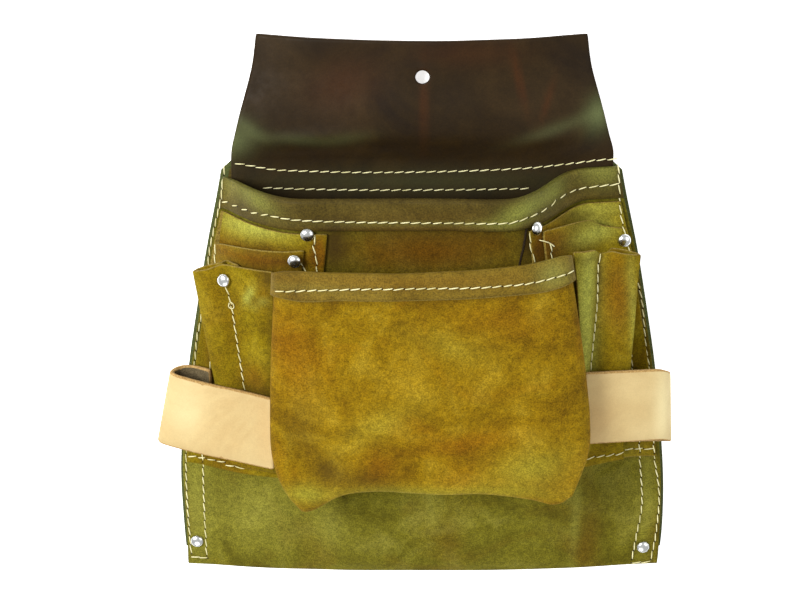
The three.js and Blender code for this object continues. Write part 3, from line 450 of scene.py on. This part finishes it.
for side in ("left", "right"):
    for row in ("upper", "middle"):
        node = f"{row}_pocket_{side}"
        suede_piece = sewn_piece(node, [ochre_suede, ochre_edge, grain_side],
                                 lambda centre, normal: normal.z > 0)
        wear_and_painted_light(suede_piece, FLAT_WEAR_AND_PAINTED_LIGHT)
        move_points(suede_piece, pocket_sag(places_of(suede_piece)))
        flat_pockets[node] = suede_piece

LOWER_DENTS = {
    "left": [(-88, 26, 5, 9, 40, 0.9), (-94, 5, 5, 20, 0, -1.0), (-112, 10, 4, 30, 6, 0.5),
             (-86, -20, 8, 14, 0, 0.9)],
    "right": [(88, 30, 5, 16, 0, 1.0), (94, -5, 4, 24, 0, -0.8), (114, 10, 4, 30, 0, 0.6),
              (92, 46, 6, 5, 0, -0.8)],
}
# Marks on the lower pockets. The dark spots are painted shade: just above the hammer loops, where the
# pocket turns in beside the front pouch, at the slots' mouths and along the dividing seam. On the right the
# pale strips down the folds are a painted highlight; the small pale marks on the left, edged dark, are a
# scratch. The orange spots are oil stains.
LOWER_WEAR_AND_PAINTED_LIGHT = {
    "left": [("dirt", -84, -40, 24, 10, 0, 0.7), ("dirt", -82, 40, 5, 8, 0, 0.6),
             ("dirt", -80, 0, 3, 40, 0, 0.4), ("rubbed", -93, 26, 2.2, 6, -30, 0.95),
             ("rubbed", -87, 22, 5, 1.8, 20, 0.85), ("dirt", -90, 25, 4, 2, -30, 0.4),
             ("warm", -112, 20, 8, 30, 8, 0.3), ("warm", -92, -26, 10, 10, 0, 0.7),
             ("warm", -84, 30, 5, 14, 0, 0.5)],
    "right": [("rubbed", 96, 30, 7, 34, -2, 1.0), ("rubbed", 98, -14, 6, 24, 0, 0.8),
              ("warm", 114, 26, 8, 34, 4, 0.8), ("dirt", 97, 48, 6, 2, 0, 0.4),
              ("dirt", 103, 38, 1.6, 12, 0, 0.5), ("rubbed", 124, 10, 3, 40, 6, 0.5),
              ("dirt", 108, -36, 16, 6, 0, 0.3), ("dirt", 112, 36, 7, 6, 0, 0.2)],
}
lower_pockets = {}
for side in ("left", "right"):
    suede_piece = sewn_piece("lower_pocket_" + side, [ochre_suede, ochre_edge, ochre_suede],
                             lambda centre, normal: True)
    wear_and_painted_light(suede_piece, LOWER_WEAR_AND_PAINTED_LIGHT[side])
    spots = places_of(suede_piece)
    free = rising(spots[:, 1], -60, 30)
    move_points(suede_piece, free * (blots(spots, LOWER_DENTS[side])
                                     + ripples(spots * [1, 1, 0], size=16, height=0.5, shift=1.3)))
    lower_pockets[side] = suede_piece
# The back layer of the right slot is cut this much lower than its front, so that its mouth looks shut.
BACK_LOWER = 9
spots = places_of(lower_pockets["right"])
slot_back = rising(spots[:, 2], 42, -8) * rising(spots[:, 1], 25, 15) * rising(spots[:, 0], 110, -8)
move_points(lower_pockets["right"], -BACK_LOWER * slot_back, 1)


# Front pouch
# A boxed pouch of mustard suede for nails, gathered to its gussets along the bottom, where one corner
# stands out in a dog-ear. Its hem is turned outwards and sewn down with one row.

mustard_suede = split_suede("mustard_split_suede", "#735506", "#94740b", "#aa8c20", "#945c0a", "#a29a30")
pouch_hem = smooth_grain("pouch_grain_side", "#6a5212", "#7c641a", "#8c7428", "#8c8a40", "#7a520e",
                         0.5, 0.7, 0.65)

POUCH_MIDDLE = Vector((4, -20, 52))
GUSSET_DROP = 11.6  # how much lower the hem's edge lies at the gussets' back than in front


def over_pouch_hem(centre):
    """How far the place lies over the hem's lower edge, which drops towards the gussets."""
    low = np.interp(centre.x, [-80, -70, -60, -50, 4, 45, 70, 84],
                    [36.9, 35.2, 34.2, 35.8, 35.8, 36.3, 37.1, 41.6])
    return centre.y - low + GUSSET_DROP * rising(centre.z, 66, -18)


def pouch_outside(centre, normal):
    """Whether a face shows the brushed side: it looks away from the pouch's middle and isn't on the hem,
    whose lower edge is met within 0.4 mm."""
    if over_pouch_hem(centre) > -0.4:
        return False
    return normal.dot((centre - POUCH_MIDDLE).normalized()) > 0


POUCH_DENTS = [
    (-50, -69, 8, 7, 20, -4.0), (-62, -58, 7, 9, -30, -2.4), (-70, -76, 6, 8, 30, 1.6),
    (-36, -64, 12, 10, 0, 1.0), (2, -25, 30, 12, 35, 1.5), (40, -50, 24, 12, 20, -1.6),
    (62, -20, 10, 30, 0, 1.2), (20, 14, 28, 9, -20, -1.0), (-50, -10, 14, 30, 10, -1.2),
    (76, -70, 8, 12, -20, 1.5), (30, -86, 30, 6, 4, 1.2), (-10, -78, 16, 8, 0, -1.0),
    (-30, 42, 24, 10, 0, -0.7), (50, 44, 16, 10, 0, 0.7),
]
# Marks on the front pouch. The dark spots are painted shade in the dog-ear's dimples and folds on the left,
# and thin lines of it under the hem. The sheen spot on the hem's right end is a painted highlight, and a
# faint one runs along the hem on the left. The orange spots are oil stains, and the pale spots lighten the
# bottom edge and a few places on the front.
POUCH_WEAR_AND_PAINTED_LIGHT = [
    ("dirt", -50, -70, 8, 9, 20, 0.6), ("dirt", -34, -76, 18, 9, 0, 0.4),
    ("dirt", -64, -44, 10, 8, 0, 0.25), ("dirt", -62, -56, 8, 8, 0, 0.3),
    ("dirt", -66, -36, 10, 12, 0, 0.25), ("warm", -66, 0, 14, 26, 10, 0.5),
    ("warm", 30, -52, 26, 6, 8, 0.5), ("warm", -20, -66, 10, 10, 0, 0.4),
    ("warm", 50, 20, 30, 10, -10, 0.3), ("rubbed", 66, -70, 22, 12, 10, 0.6),
    ("rubbed", -20, -40, 26, 8, 30, 0.3), ("rubbed", 10, -86, 70, 6, 0, 0.6),
    ("rubbed", 20, 6, 26, 8, -20, 0.25), ("rubbed", -62, -86, 12, 8, 0, 0.6),
    ("dirt", -40, 34, 50, 1.6, -1, 0.3), ("dirt", 40, 36, 50, 1.6, 2, 0.3),
    ("glaze", 76, 46, 10, 8, 0, 0.7), ("glaze", -60, 42, 30, 3, 0, 0.15), ("warm", 0, 46, 60, 4, 0, 0.3),
]
LOWER_EDGE = [
    (-16, -90, 34, 14, 0, 2.6), (36, -90, 26, 14, 0, 2.4), (80, -88, 10, 12, 0, -2.0),
    (-64, -96, 9, 9, 0, 1.4),
]
pouch = sewn_piece("front_pouch", [mustard_suede, ochre_edge, pouch_hem], pouch_outside,
                   lambda centre: over_pouch_hem(centre) > 4)
wear_and_painted_light(pouch, POUCH_WEAR_AND_PAINTED_LIGHT)
spots = places_of(pouch)
free = rising(spots[:, 2], 52, 14)
move_points(pouch, free * (blots(spots, POUCH_DENTS)
                           + ripples(spots * [1, 1, 0], size=24, height=1.5, shift=5.0)
                           + ripples(spots * [1, 1, 0], size=9, height=0.35, shift=9.0)))
move_points(pouch, blots(spots, LOWER_EDGE), 1)


# Hammer loops
# Straps of thick vegetable-tanned leather, left in their natural colour, sewn in under the pouch's
# gusset at one end and into the side seam at the other. Their flesh side shows inside the loop.

natural = smooth_grain("natural_vegetable_tanned_leather", "#b59a68", "#bea674", "#c8b280", "#dccd9c",
                       "#bb9460", 0.1, 0.1, 0.6)
strap_flesh = split_suede("strap_flesh_side", "#5d5038", "#6b5e44", "#786b50", "#64543a", "#8a7c5c")
strap_edge = cut_edge("burnished_strap_edge", "#8a6a3c", "#b3935c")


def faces_out(hollow, centre, normal):
    """Whether a face of the loop looks away from its hollow, whose middle is at x and z. Its distance
    along x counts for 12 mm at most, so that on the loop's long flat sides the height tells."""
    along = np.clip(centre.x - hollow[0], -12, 12)
    return normal.x * along + normal.z * (centre.z - hollow[1]) > 0


# Each loop's hollow, as x and z, and its marks: a painted sheen on the loop's outer end and an orange oil
# stain near the pouch.
STRAPS = {
    "left": ((-124, 24), [("glaze", -132, -50, 10, 16, 0, 0.4), ("warm", -84, -56, 6, 20, 0, 0.3)]),
    "right": ((134, 20), [("glaze", 144, -50, 6, 30, 0, 0.8), ("warm", 106, -50, 10, 20, 0, 0.25)]),
}
for side, (hollow, marks) in STRAPS.items():
    strap = sewn_piece("hammer_loop_" + side, [natural, strap_edge, strap_flesh],
                       lambda centre, normal: faces_out(hollow, centre, normal))
    wear_and_painted_light(strap, marks)
    spots = places_of(strap)
    move_points(strap, ripples(spots, size=30, height=0.7, shift=2.2))


# Stitching
# Waxed cream polyester thread, about 0.7 mm thick, in lock stitches of 6 mm that lean a little in a
# shallow groove, with a dark needle hole between each two.

def twisted_thread():
    """Cream waxed thread: two plies twisted about once a millimetre, low gloss."""
    material, tree, place = blank_material("waxed_polyester_thread")
    ply = add(tree, "ShaderNodeTexWave", {"Vector": place, "Scale": per_mm(1.4), "Distortion": 2.0},
              bands_direction="DIAGONAL")
    darkened = add(tree, "ShaderNodeTexNoise", {"Vector": place, "Scale": per_mm(9)})
    tone = add(tree, "ShaderNodeValToRGB", {"Fac": darkened.outputs["Fac"]},
               stops=[(0.3, "#bdb57c"), (0.6, "#e2dba8")])
    twist = add(tree, "ShaderNodeBump", {"Height": ply.outputs["Fac"], "Strength": 0.4,
                                         "Distance": 0.15 * MM})
    shader = add(tree, "ShaderNodeBsdfPrincipled",
                 {"Base Color": tone.outputs["Color"], "Roughness": 0.6, "Normal": twist.outputs["Normal"]})
    add(tree, "ShaderNodeOutputMaterial", {"Surface": shader.outputs["BSDF"]})
    return material


thread = twisted_thread()
# A needle hole, or a slit, shows raw hide in deep shade: nearly black, and matt.
hole_dark = cut_edge("needle_hole", "#191106", "#2a1e0c")
STITCH_PITCH = 6.0
STITCH_LONG = 6.3
THREAD = 0.66
THREAD_HIGH = 0.84  # a stitch is drawn flat to this share of its thickness
STITCH_SINK = 0.4  # how deep its ends dip into their needle holes
STITCH_BULGE = 0.1  # share by which it is thicker between them


def one_stitch():
    """A stitch's points and faces: a bead drawn out along X, its ends dipping into the leather."""
    bpy.ops.object.select_all(action="DESELECT")
    bpy.ops.mesh.primitive_uv_sphere_add(segments=8, ring_count=7, radius=1)
    bead = bpy.context.object
    bpy.ops.object.mode_set(mode="EDIT")
    bpy.ops.mesh.select_all(action="SELECT")
    bpy.ops.transform.rotate(value=math.pi / 2, orient_axis="Y", center_override=(0, 0, 0))
    bpy.ops.transform.resize(value=(STITCH_LONG / 2, THREAD / 2, THREAD / 2 * THREAD_HIGH))
    bpy.ops.object.mode_set(mode="OBJECT")
    points = np.array([vertex.co for vertex in bead.data.vertices])
    along = points[:, 0] / (STITCH_LONG / 2)
    points[:, 2] -= STITCH_SINK * along ** 4
    # A stitch bulges a little between its holes, most of its length alike.
    full = np.clip(1.25 * np.sqrt(np.clip(1 - along ** 2, 0, 1)), 0, 1)
    points[:, 1:] *= 1 + STITCH_BULGE * full[:, None]
    faces = [list(face.vertices) for face in bead.data.polygons]
    bpy.data.objects.remove(bead)
    return points, faces


stitch_points, stitch_faces = one_stitch()


def smooth_path(path):
    """The path as a smooth curve, ten places between two points, and how far along it each place lies."""
    path = np.array(path, float)
    smooth = []
    for i in range(len(path) - 1):
        before, after = path[max(i - 1, 0)], path[min(i + 2, len(path) - 1)]
        start, end = path[i], path[i + 1]
        for t in np.arange(0, 1, 0.1):
            smooth.append(0.5 * (2 * start + (end - before) * t
                                 + (2 * before - 5 * start + 4 * end - after) * t ** 2
                                 + (3 * start - before - 3 * end + after) * t ** 3))
    smooth.append(path[-1])
    smooth = np.array(smooth)
    return smooth, np.r_[0, np.cumsum(np.linalg.norm(np.diff(smooth, axis=0), axis=1))]


def walk(path):
    """The middle of each stitch along a path, with the path's direction over the millimetre there."""
    smooth, steps = smooth_path(path)
    count = max(1, round(steps[-1] / STITCH_PITCH))
    at = (np.arange(count) + 0.5) * steps[-1] / count
    middle, ahead, behind = (np.stack([np.interp(at + on, steps, smooth[:, k]) for k in (0, 1)], 1)
                             for on in (0, 0.5, -0.5))
    return middle, ahead - behind


GROOVE_DEEP = 0.35
GROOVE_WIDE = 2.2  # from its middle to where it has all but run out
SOIL_WIDE = 1.6  # how far dirt has gathered along the thread
SOIL = 0.25


def groove(piece, path):
    """Draws the leather in along a row of stitches, deepest at the holes, and soils it there."""
    smooth, steps = smooth_path(path)
    places = places_of(piece)
    near = np.full(len(places), np.inf)
    along = np.zeros(len(places))
    for place, step in zip(smooth, steps):
        away = np.hypot(places[:, 0] - place[0], places[:, 1] - place[1])
        closer = away < near
        near[closer] = away[closer]
        along[closer] = step
    pull = np.exp(-(near / GROOVE_WIDE) ** 2) * (0.75 + 0.25 * np.cos(2 * math.pi * along / STITCH_PITCH))
    move_points(piece, -GROOVE_DEEP * pull)
    shade = piece.data.attributes["dirt"]
    darkened = np.empty(len(places), np.float32)
    shade.data.foreach_get("value", darkened)
    darkened = np.clip(darkened + SOIL * np.exp(-(near / SOIL_WIDE) ** 2), 0, 1)
    shade.data.foreach_set("value", darkened.astype(np.float32))


def tree_of(pieces):
    """A search tree over the faces of these pieces."""
    points, faces = [], []
    for piece in pieces:
        start = len(points)
        points += [vertex.co.copy() for vertex in piece.data.vertices]
        faces += [[start + i for i in face.vertices] for face in piece.data.polygons]
    return BVHTree.FromPolygons(points, faces)


# A needle hole shows as a small dark plug, 1 mm long and 0.9 mm wide, its top just proud of the leather.
PLUG = 8  # its sides
PLUG_FACES = [
    list(range(PLUG)), list(range(2 * PLUG - 1, PLUG - 1, -1)),
    *([i, i + PLUG, (i + 1) % PLUG + PLUG, (i + 1) % PLUG] for i in range(PLUG)),
]
PLUG_ROUND = [(0.5 * math.cos(a), 0.45 * math.sin(a), height)
              for height in (0.04, -0.3) for a in np.arange(PLUG) * 2 * math.pi / PLUG]
LEAN = 8  # degrees between a stitch and its row
LIFT = 0.12  # from the leather to a stitch's middle
HOLE_ABOVE = 5  # the leather under a hole is looked for from this far over its stitch
WELL_CLEAR = 150  # higher than anything on the bag


def sew(name, path, pieces, from_below=False):
    """Lays a row of stitches and needle holes along a path on the topmost of the pieces, or the lowest."""
    tree = tree_of(pieces)
    points, faces, holes, hole_faces = [], [], [], []
    look = 1 if from_below else -1
    for (x, y), (dx, dy) in zip(*walk(path)):
        hit, normal, _, _ = tree.ray_cast(Vector((x, y, -WELL_CLEAR * look)) * MM, Vector((0, 0, look)))
        if hit is None:
            continue
        normal = normal if normal.z * look < 0 else -normal
        ahead = Vector((dx, dy, 0))
        ahead = (ahead - ahead.dot(normal) * normal).normalized()
        turned = Matrix.Rotation(math.radians(LEAN), 3, normal) @ ahead
        place = Matrix((turned, normal.cross(turned), normal)).transposed()
        start = len(points)
        points += [hit + place @ Vector(p) * MM + normal * LIFT * MM for p in stitch_points]
        faces += [[start + i for i in face] for face in stitch_faces]
        start = len(holes)
        after_stitch = hit + ahead * STITCH_PITCH / 2 * MM
        low = tree.ray_cast(after_stitch + normal * HOLE_ABOVE * MM, -normal)[0]
        if low is not None:
            holes += [low + place @ Vector(p) * MM for p in PLUG_ROUND]
            hole_faces += [[start + i for i in face] for face in PLUG_FACES]
    for label, material, some, shapes in (("", thread, points, faces),
                                          ("_holes", hole_dark, holes, hole_faces)):
        mesh = bpy.data.meshes.new(name + label)
        mesh.from_pydata(some, [], shapes)
        mesh.materials.append(material)
        mesh.update()
        row = bpy.data.objects.new(name + label, mesh)
        bpy.context.scene.collection.objects.link(row)
        mesh.shade_smooth()
        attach(row, "root")


def strand(name, places, thick, material):
    """A loose end of thread, and also the dark strand of a painted shadow, drawn through places over the
    leather.
    """
    curve = bpy.data.curves.new(name, "CURVE")
    curve.dimensions = "3D"
    curve.bevel_depth = thick / 2 * MM
    curve.bevel_resolution = 1
    curve.use_fill_caps = True
    spline = curve.splines.new("BEZIER")
    spline.bezier_points.add(len(places) - 1)
    for point, place in zip(spline.bezier_points, places):
        point.co = Vector(place) * MM
        point.handle_left_type = point.handle_right_type = "AUTO"
    shape = bpy.data.objects.new(name + "_path", curve)
    bpy.context.scene.collection.objects.link(shape)
    end = bpy.data.objects.new(name, bpy.data.meshes.new_from_object(shape))
    bpy.data.objects.remove(shape)
    end.data.materials.clear()
    end.data.materials.append(material)
    bpy.context.scene.collection.objects.link(end)
    end.data.shade_smooth()
    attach(end, "root")


def height_on(pieces, x, y):
    """Height of the topmost of the pieces at a place, in millimetres."""
    hit = tree_of(pieces).ray_cast(Vector((x, y, WELL_CLEAR)) * MM, Vector((0, 0, -1)))[0]
    return hit.z / MM


# Where the rows run, as x and y.
LEFT_OUTER = [
    (-107.8, 89), (-108.8, 80), (-110, 70.4), (-116.4, 44.4), (-117.9, 35.3), (-123.5, -1.1),
    (-126.3, -14.1), (-128.7, -32.9), (-133.5, -62), (-135.2, -90.3), (-135.5, -118.3), (-134.2, -154),
]
LEFT_INNER = [
    (-113.5, 45.1), (-115.8, 11.1), (-118.1, -25.2), (-121.6, -50.5), (-124.7, -87), (-125.4, -118.2),
    (-124.9, -155.5),
]
RIGHT_OUTER = [
    (114.6, 92), (115.2, 84), (117.5, 60), (124, 36), (130.7, 11.4), (133.1, -5.4), (134.8, -20.5),
    (137.8, -36.7), (139.3, -58.3), (141.9, -87.1), (146.2, -113.7), (145.5, -138.8), (142.9, -158),
]
RIGHT_INNER = [
    (124, 5), (126.1, -24.9), (129.7, -51.9), (133.4, -87.1), (136.2, -120), (133.9, -140.1), (131.4, -158),
]
HEM_ROW = [
    (-110.5, 70), (-90.7, 70.7), (-84.8, 71.4), (-77.3, 71.9), (-63.3, 71.3), (-41.4, 70.4), (2.6, 69.6),
    (46.6, 69.5), (57.7, 70.6), (63.4, 71.4), (72.2, 72.8), (81.3, 75.8), (90.4, 77.4), (115.9, 80.3),
]
SEAM_LEFT = [(-134, -88), (-117, -87.6), (-104.8, -87.2), (-84, -88.2), (-70, -88.4)]
SEAM_RIGHT = [(88, -82), (103.9, -81.4), (115, -82.3), (133.2, -83), (141.5, -83.2)]
DIVIDE_LEFT = [(-106.4, 29), (-104.8, 24), (-103, 15.2), (-100.3, -9.7), (-97.7, -33.9), (-96, -60)]
DIVIDE_RIGHT = [(104, 49), (102.3, 41.2), (102.6, 19.4), (101.3, -4), (100.3, -24.6), (99.5, -60)]
POUCH_HEM_ROW = [
    (-77, 39), (-40.8, 41.8), (-8.4, 42.6), (29.6, 42), (57, 42.3), (74.7, 44), (84, 45.4), (88.4, 46.2),
]
FLAP_UPPER = [
    (-108, 90.4), (-102, 91), (-93.1, 89.6), (-80, 87.3), (-64.9, 86.5), (-31, 85.6), (3, 85.9),
    (36.9, 86.8), (65.2, 88.3), (90.5, 91.2), (103.4, 93), (114.6, 93.6),
]
FLAP_LOWER = [(-86.7, 76.6), (-65.1, 75.8), (-31.1, 75.2), (3, 75.2), (37.1, 75.5), (65.4, 76.1)]
front_layers = [pocket, *flat_pockets.values()]
ROWS = [
    ("hem_stitching", HEM_ROW, [pocket]),
    ("side_seam_left_outer", LEFT_OUTER, [*front_layers, back]),
    ("side_seam_left_inner", LEFT_INNER, front_layers),
    ("side_seam_left_end", [(-134.2, -156), (-124.9, -157)], front_layers),
    ("side_seam_right_outer", RIGHT_OUTER, [*front_layers, back]),
    ("side_seam_right_inner", RIGHT_INNER, front_layers),
    ("side_seam_right_end", [(142.9, -159.6), (131.4, -160.3)], front_layers),
    ("bottom_seam_left", SEAM_LEFT, [*front_layers, lower_pockets["left"]]),
    ("bottom_seam_right", SEAM_RIGHT, [*front_layers, lower_pockets["right"]]),
    ("upper_pocket_row_left", [(-54.9, 62.8), (-55.9, 55.1), (-54.6, 46.2), (-54.6, 20)],
     [flat_pockets["upper_pocket_left"]]),
    ("middle_pocket_row_left", [(-65.2, 50), (-63.1, 46), (-60.2, 38), (-60.2, 20)], front_layers),
    ("upper_pocket_row_right", [(63.7, 62.7), (64.1, 53.8), (66.2, 46.1), (66.4, 20)],
     [flat_pockets["upper_pocket_right"]]),
    ("middle_pocket_row_right", [(75.3, 56), (76.2, 47), (77, 40), (77, 20)], front_layers),
    ("dividing_seam_left", DIVIDE_LEFT, [lower_pockets["left"]]),
    ("dividing_seam_right", DIVIDE_RIGHT, [lower_pockets["right"]]),
    ("pouch_hem_stitching", POUCH_HEM_ROW, [pouch]),
    ("flap_row_upper", FLAP_UPPER, [flap, back, pocket]),
    ("flap_row_lower", FLAP_LOWER, [flap]),
]
for name, path, pieces in ROWS:
    for piece in pieces:
        groove(piece, path)
for name, path, pieces in ROWS:
    sew(name, path, pieces)

# Two ends of thread have worked loose, and lie just over the leather, worn a little thinner.
LOOSE_OVER = 0.5
LOOSE_THICK = 0.9 * THREAD
LOOSE_ENDS = [
    ("thread_end_upper_right", [(69, 57.5), (72, 56.8), (75, 55.2), (77.5, 53)], front_layers),
    ("thread_loop_left", [(-104.2, 20), (-102, 18.4), (-102.4, 15.8), (-104.6, 16.4), (-104.4, 19)],
     [lower_pockets["left"]]),
]
for name, path, pieces in LOOSE_ENDS:
    strand(name, [(x, y, height_on(pieces, x, y) + LOOSE_OVER) for x, y in path], LOOSE_THICK, thread)

# The main pocket's front stands off from the right upper pocket's inner edge; the shaded gap is drawn as a
# dark strand, a painted shadow.
SLIT = [
    (61.8, 65), (61.2, 62.5), (60.8, 59.6), (60.3, 56.3), (59.8, 52.9), (59, 49.5), (58.2, 45), (57.8, 42),
]
SLIT_WIDE = 1.4
SLIT_UNDER = 0.1  # how far its middle lies under the leather's face
strand("slit_beside_upper_pocket", [(x, y, height_on([pocket], x, y) - SLIT_UNDER) for x, y in SLIT],
       SLIT_WIDE, hole_dark)

# The outer seams and the flap's row come through to the back.
for name, path in (("left_outer", LEFT_OUTER), ("left_inner", LEFT_INNER), ("right_outer", RIGHT_OUTER),
                   ("right_inner", RIGHT_INNER)):
    sew("back_seam_" + name, path, [back], from_below=True)
sew("back_flap_row", [(-98, 87), (0, 86), (104, 88)], [back], from_below=True)


# Rivets
# Cap rivets of nickel-plated steel that hold the corners of the pockets. Each cap is a pressed dome with
# a rolled rim, set on its post through the leather.

def nickel_plate():
    """Bright nickel plate on a pressed cap: a clean mirror with a slight warmth and fine handling marks."""
    material, tree, place = blank_material("nickel_plate")
    marks = add(tree, "ShaderNodeTexNoise", {"Vector": place, "Scale": per_mm(1.2), "Detail": 4})
    polish = add(tree, "ShaderNodeMapRange", {"Value": marks.outputs["Fac"], "To Min": 0.14, "To Max": 0.3})
    shader = add(tree, "ShaderNodeBsdfPrincipled", {"Base Color": linear("#d6d8d6"), "Metallic": 1,
                                                    "Roughness": polish.outputs["Result"]})
    add(tree, "ShaderNodeOutputMaterial", {"Surface": shader.outputs["BSDF"]})
    return material


nickel = nickel_plate()
for node in sorted(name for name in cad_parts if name.startswith("rivet_")):
    cap = copied(node, "_cap", [nickel])
    bpy.ops.mesh.customdata_custom_splitnormals_clear()
    bpy.ops.object.mode_set(mode="OBJECT")
    rounded_off(cap)
    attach(cap, "root")
    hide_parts(node)


# Floor, light and camera
# A white sweep just under the bag, broad soft light from the upper left with a fill from the right, and a
# long lens that looks down at the bag from its flap's side, as the photograph was taken.

def white_paper():
    """Matt white paper, lit through from below, as a studio sweep is to come out pure white."""
    material = bpy.data.materials.new("white_paper")
    material.use_nodes = True
    sockets = material.node_tree.nodes["Principled BSDF"].inputs
    for name, value in (("Base Color", linear("#fbfbfa")), ("Roughness", 0.9), ("Specular IOR Level", 0.1),
                        ("Emission Color", (1, 1, 1, 1)), ("Emission Strength", 0.7)):
        sockets[name].default_value = value
    return material


UNDER_THREAD = 0.8  # the floor lies this far under the back panel, clear of the thread on it
bpy.ops.object.select_all(action="DESELECT")
bpy.ops.mesh.primitive_plane_add(size=8, location=(0, 0, -UNDER_THREAD * MM))
floor = bpy.context.object
floor.name = "floor"
floor.data.materials.append(white_paper())

BAG_MIDDLE = Vector((0, 0, 0.03))


def soft_box(name, place, size, power):
    """A round soft light, so many metres wide and watts strong, turned to the bag's middle."""
    lamp = bpy.data.lights.new(name, "AREA")
    lamp.shape = "DISK"
    lamp.size = size
    lamp.energy = power
    holder = bpy.data.objects.new(name, lamp)
    bpy.context.scene.collection.objects.link(holder)
    holder.location = place
    holder.rotation_euler = (BAG_MIDDLE - Vector(place)).to_track_quat("-Z", "Y").to_euler()


soft_box("key_light", (-0.8, 0.5, 1.2), size=0.6, power=26)
soft_box("fill_light", (0.95, 0.3, 1.0), size=1.0, power=5)
soft_box("low_light", (-0.2, -1.0, 0.9), size=0.9, power=5)
world = bpy.data.worlds.new("studio")
world.use_nodes = True
surround = world.node_tree.nodes["Background"].inputs
surround["Color"].default_value = (1, 1, 1, 1)
surround["Strength"].default_value = 0.62
bpy.context.scene.world = world
bpy.context.scene.view_settings.view_transform = "Standard"

# A long lens some 1.3 m off, tipped 20 degrees from straight down towards the bag's bottom.
camera = bpy.data.objects.new("camera", bpy.data.cameras.new("camera"))
bpy.context.scene.collection.objects.link(camera)
camera.data.lens = 100.85
camera.data.sensor_width = 36
camera.data.clip_start = 0.05
camera.location = Vector((-8.36, 451.63, 1221.6)) * MM
camera.rotation_euler = (math.radians(-20), 0, 0)
bpy.context.scene.camera = camera
